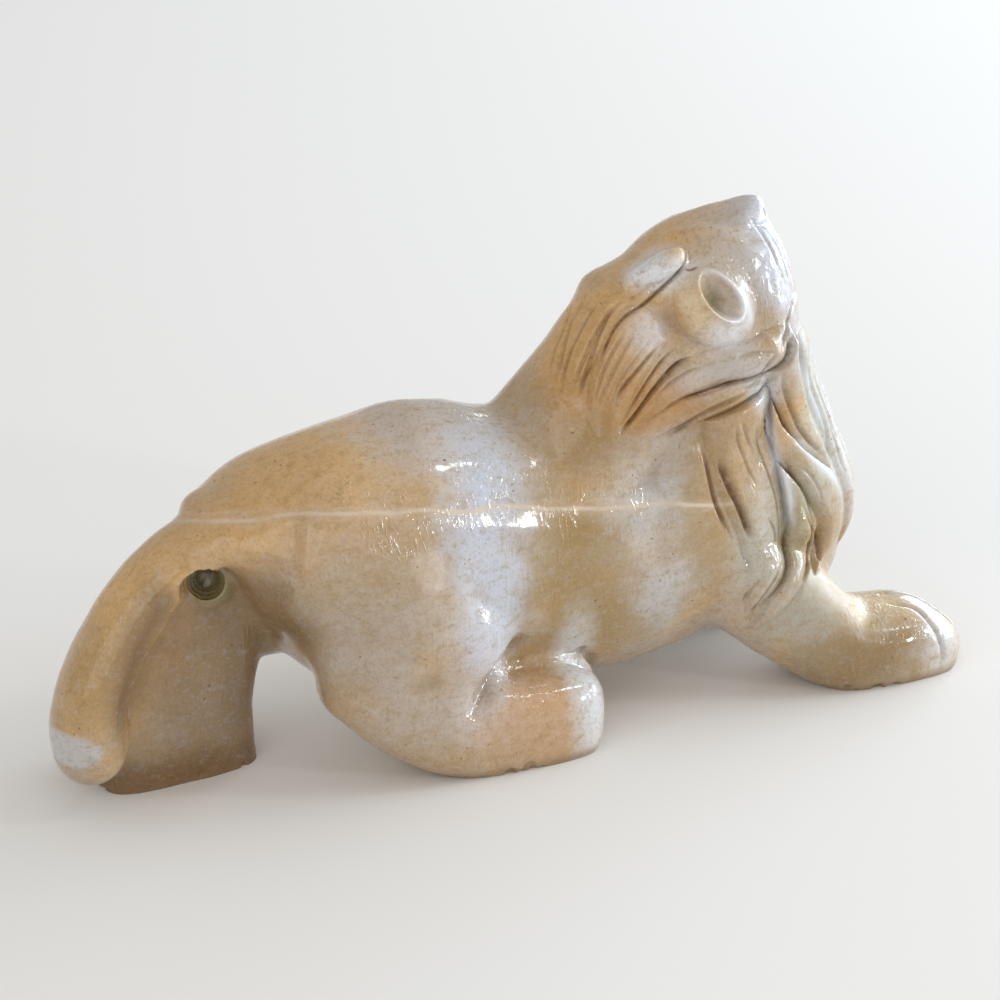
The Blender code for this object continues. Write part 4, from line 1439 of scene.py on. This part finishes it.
    flecks: tuple[Fleck, ...] = (
        Fleck(Tint.OLIVE, Cloud(0.8, 6, 0.7, 0.46, 0.76, 0.6), (0.8, 1.0, 1.1)),
        Fleck(Tint.PALE, Cloud(0.8, 6, 0.7, 0.5, 0.26, 0.25), (0.8, 1.0, 1.1)),
        Fleck(Tint.UMBER, Cloud(2.6, 4, 0.7, 0.47, 0.82, 0.55)),
        Fleck(Tint.CREAM, Cloud(2.6, 4, 0.7, 0.5, 0.22, 0.25)),
    )
    small_zone: float = 3.0
    drift_scale: float = 0.2
    drift_reach: float = 7.0
    dull: tuple[Zone, ...] = (
        Zone((31, -13, 10), (8, 9, 6), Tint.ASH, 0.35),
        Zone((-18, -14, 26), (2, 3, 2.4), Tint.ASH, 0.35),
    )
    vein: Vein = Vein()
    speck_shake: tuple[float, float, float, float] = (2.2, 3, 0.7, 0.9)
    speck_cells: float = 0.85
    speck: Triple = (0.15, 0.05, 0.8)
    speck_places: Cloud = Cloud(0.22, 3, 0.5, 0.5, 0.6)
    # Hollow depths in millimetres over which the painted recess shade rises, and its share.
    recess_shade: Triple = (0.04, 0.25, 0.35)
    # Patches in which the painted groove shade is laid.
    shade_patches: Cloud = Cloud(1.2, 2, 0.5, 0.15, 0.5)
    # Share of CHALK laid as painted highlight where the mark is below nought.
    highlight_paint: float = 0.9
    sole_wander: tuple[float, float] = (0.8, 1.6)
    sole_edge: tuple[float, float] = (2.6, 0.9)
    sole_share: float = 0.65
    polish: float = 0.04
    uneven_polish: Triple = (0.5, 3, 0.08)
    rough_grooves: float = 0.25
    rough_sole: float = 0.35
    streak_stretch: Triple = (2.2, 2.2, 0.28)
    streaks: tuple[Cloud, Cloud] = (Cloud(1.0, 2, 0.5, 0.52, 0.68, 0.5), Cloud(0.17, 2, 0.5, 0.42, 0.58))
    ripple: tuple[float, float, float, float] = (0.55, 3, 0.55, 0.35)
    relief_strength: float = 0.6
    relief_depth: float = 0.0001
    translucency: float = 0.25
    scatter_depth: float = 0.0016
    scatter_colour: Triple = (1.0, 0.6, 0.35)
    refraction: float = 1.6

    def dress(self, obj: bpy.types.Object, place: Matrix) -> None:
        """Give the figure its stone.

        Args:
            obj: The figure.
            place: The matrix from carver's units to the real place.
        """
        material = bpy.data.materials.new("polished veined stone")
        material.use_nodes = True
        tree = material.node_tree
        shader = tree.nodes["Principled BSDF"]
        shader.inputs["IOR"].default_value = self.refraction
        shader.inputs["Subsurface Weight"].default_value = self.translucency
        shader.inputs["Subsurface Radius"].default_value = self.scatter_colour
        shader.inputs["Subsurface Scale"].default_value = self.scatter_depth
        bench = Bench(tree)
        back = place.inverted()
        raw = bench.node("ShaderNodeTexCoord", {}, {}, "Object")
        at = bench.vector("MULTIPLY_ADD", raw, (back.to_scale().x,) * 3, tuple(back.translation))
        hollow = bench.node("ShaderNodeAttribute", {"attribute_name": "hollow"}, {}, "Fac")
        painted_shade_and_highlight = bench.node("ShaderNodeAttribute", {"attribute_name": "painted_shade_and_highlight"}, {}, "Fac")
        height = bench.node("ShaderNodeSeparateXYZ", {}, {0: at}, "Z")
        scale, reach = self.sole_wander
        sole = (height + bench.noise(at, scale) * reach).step(*self.sole_edge)
        colour = self._marks(bench, at, self._body(bench, at))
        # Painted shade: darker where a point lies deep in a recess.
        colour = bench.mix(hollow.step(*self.recess_shade), colour, Tint.UMBER.value)
        # Painted shade along the carved grooves, laid in patches.
        colour = bench.mix(painted_shade_and_highlight * self.shade_patches.mask(bench, at), colour, Tint.DEEP_BROWN.value)
        # Painted highlights along lock edges and the eye rim.
        colour = bench.mix(painted_shade_and_highlight * -self.highlight_paint, colour, Tint.CHALK.value)
        colour = bench.mix(sole * self.sole_share, colour, Tint.UMBER.value)
        tree.links.new(colour.socket, shader.inputs["Base Color"])
        scale, detail, share = self.uneven_polish
        rough = self.polish + bench.noise(at, scale, detail) * share + painted_shade_and_highlight.clamp() * self.rough_grooves
        rough = rough + sole * self.rough_sole + sum(zone.mask(bench, at) for zone in self.dull)
        tree.links.new(rough.clamp().socket, shader.inputs["Roughness"])
        tree.links.new(self._relief(bench, at).socket, shader.inputs["Normal"])
        obj.data.materials.clear()
        obj.data.materials.append(material)

    def _body(self, bench: Bench, at: Channel) -> Channel:
        """Lay the stone's clouds, its zones, pushed about where they are large, and its flecks.

        Args:
            bench: Where the nodes are made.
            at: The point in carver's units.

        Returns:
            The colour.
        """
        warp = bench.vector("SUBTRACT", bench.noise(at, self.drift_scale, output=1), (0.5, 0.5, 0.5))
        drift = bench.vector("MULTIPLY_ADD", warp, (self.drift_reach,) * 3, at)
        colour: Input = Tint.TAN.value
        for cloud in self.clouds:
            colour = cloud.lay(bench, at, colour)
        for zone in self.zones:
            place = drift if min(zone.radii) > self.small_zone else at
            colour = bench.mix(zone.mask(bench, place), colour, zone.tint.value)
        for fleck in self.flecks:
            colour = fleck.lay(bench, at, colour)
        return colour

    def _marks(self, bench: Bench, at: Channel, colour: Channel) -> Channel:
        """Draw the vein and the specks.

        Args:
            bench: Where the nodes are made.
            at: The point in carver's units.
            colour: The stone so far.

        Returns:
            The colour with them.
        """
        colour = bench.mix(self.vein.mask(bench, at), colour, Tint.VEIN.value)
        scale, detail, rough, reach = self.speck_shake
        shake = bench.noise(at, scale, detail, rough, output=1)
        cells = {"Vector": bench.vector("MULTIPLY_ADD", shake, (reach,) * 3, at), "Scale": self.speck_cells}
        dots = bench.node("ShaderNodeTexVoronoi", {}, cells, "Distance").step(*self.speck)
        return bench.mix(dots * self.speck_places.mask(bench, at), colour, Tint.GRIME.value)

    def _relief(self, bench: Bench, at: Channel) -> Channel:
        """Give the surface faint polishing streaks and a slight ripple.

        Args:
            bench: Where the nodes are made.
            at: The point in carver's units.

        Returns:
            The normal.
        """
        lines, patches = self.streaks
        along = bench.vector("MULTIPLY", at, self.streak_stretch)
        height = lines.mask(bench, along) * patches.mask(bench, at)
        *ripple, swell = self.ripple
        height = height + bench.noise(at, *ripple) * swell
        values = {"Strength": self.relief_strength, "Distance": self.relief_depth, "Height": height}
        return bench.node("ShaderNodeBump", {}, values)


# Studio


@dataclass(frozen=True)
class SoftBox:
    """A rectangular light that looks at the figure."""

    name: str
    direction: Triple
    distance: float
    width: float
    height: float
    radiance: float
    colour: Triple = (1.0, 1.0, 1.0)

    def hang(self, target: Vector) -> None:
        """Hang the light.

        Args:
            target: The point that it looks at.
        """
        light = bpy.data.lights.new(self.name, "AREA")
        light.shape = "RECTANGLE"
        light.size = self.width
        light.size_y = self.height
        light.energy = self.radiance * math.pi * self.width * self.height
        light.color = self.colour
        obj = bpy.data.objects.new(self.name, light)
        way = Vector(self.direction).normalized()
        obj.location = target + way * self.distance
        obj.rotation_mode = "QUATERNION"
        obj.rotation_quaternion = way.to_track_quat("Z", "Y")
        bpy.context.collection.objects.link(obj)


@dataclass(frozen=True)
class Studio:
    """Plain pale floor, soft light and the camera."""

    azimuth: float = -27.0
    elevation: float = 25.0
    distance: float = 0.4037
    target: Triple = (0.00306, 0.00531, 0.02422)
    lens: float = 128.0
    sensor: float = 36.0
    shift: tuple[float, float] = (-0.005, -0.006)
    floor_size: float = 6.0
    floor_colour: Colour = (0.86, 0.86, 0.86, 1.0)
    floor_roughness: float = 0.9
    floor_shine: float = 0.1
    furthest: float = 20.0
    sky: Colour = (1.0, 0.965, 0.915, 1.0)
    sky_strength: float = 0.56
    lights: tuple[SoftBox, ...] = (
        SoftBox("window", (0.93, 0.05, 0.22), 0.7, 0.95, 0.42, 2.9, (0.78, 0.90, 1.0)),
        SoftBox("side window", (0.82, 0.55, 0.10), 0.8, 0.40, 0.36, 4.0, (0.85, 0.94, 1.0)),
        SoftBox("bright panes", (0.92, -0.10, 0.22), 0.64, 0.34, 0.08, 16.0, (0.90, 0.96, 1.0)),
        SoftBox("small window", (0.585, -0.765, 0.25), 0.65, 0.026, 0.085, 75.0, (0.95, 0.98, 1.0)),
        SoftBox("low pane", (0.86, -0.50, 0.06), 0.5, 0.04, 0.05, 28.0, (0.95, 0.98, 1.0)),
        SoftBox("brow pane", (0.80, -0.50, 0.32), 0.6, 0.03, 0.05, 36.0, (0.95, 0.98, 1.0)),
        SoftBox("ceiling", (0.55, -0.35, 0.76), 0.8, 0.06, 0.12, 14.0, (0.93, 0.97, 1.0)),
        SoftBox("room", (-0.75, -0.55, 0.40), 1.0, 1.1, 0.8, 1.0, (1.0, 0.96, 0.90)),
    )

    def set_up(self) -> None:
        """Build floor, sky, lights and camera."""
        self._floor()
        self._sky()
        for light in self.lights:
            light.hang(Vector(self.target))
        self._camera()
        bpy.context.scene.view_settings.view_transform = "Standard"

    def _floor(self) -> None:
        """Lay the floor."""
        half = self.floor_size / 2
        mesh = bpy.data.meshes.new("floor")
        corners = [(-half, -half, 0), (half, -half, 0), (half, half, 0), (-half, half, 0)]
        mesh.from_pydata(corners, [], [(0, 1, 2, 3)])
        floor = bpy.data.objects.new("floor", mesh)
        bpy.context.collection.objects.link(floor)
        material = bpy.data.materials.new("pale paper")
        material.use_nodes = True
        shader = material.node_tree.nodes["Principled BSDF"]
        shader.inputs["Base Color"].default_value = self.floor_colour
        shader.inputs["Roughness"].default_value = self.floor_roughness
        shader.inputs["Specular IOR Level"].default_value = self.floor_shine
        mesh.materials.append(material)

    def _sky(self) -> None:
        """Surround the figure with even pale light."""
        world = bpy.data.worlds.new("soft sky")
        world.use_nodes = True
        background = world.node_tree.nodes["Background"]
        background.inputs["Color"].default_value = self.sky
        background.inputs["Strength"].default_value = self.sky_strength
        bpy.context.scene.world = world

    def _camera(self) -> None:
        """Stand the camera at the photograph's angle."""
        turn, rise = math.radians(self.azimuth), math.radians(self.elevation)
        back = Vector((math.sin(turn) * math.cos(rise), -math.cos(turn) * math.cos(rise), math.sin(rise)))
        right = Vector((math.cos(turn), math.sin(turn), 0.0))
        data = bpy.data.cameras.new("camera")
        data.sensor_width = self.sensor
        data.lens = self.lens
        data.shift_x, data.shift_y = self.shift
        data.clip_end = self.furthest
        camera = bpy.data.objects.new("camera", data)
        camera.location = Vector(self.target) + back * self.distance
        camera.rotation_mode = "QUATERNION"
        camera.rotation_quaternion = Matrix((right, back.cross(right), back)).transposed().to_quaternion()
        bpy.context.collection.objects.link(camera)
        bpy.context.scene.camera = camera


def corners(box: Sequence[Sequence[float]]) -> list[list[float]]:
    """Return a box as plain lists of numbers."""
    return [[float(value) for value in corner] for corner in box]


def main() -> None:
    """Carve, dress and light the lion."""
    logging.basicConfig(level=logging.INFO, format="%(message)s")
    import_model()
    low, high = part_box("lion")
    lion, place = Lion().build(low, high)
    PolishedStone().dress(lion, place)
    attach(lion, "root")
    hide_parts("lion")
    LOG.info("lion carved and dressed")
    Studio().set_up()
    LOG.info("studio lit")


if __name__ == "__main__":
    main()
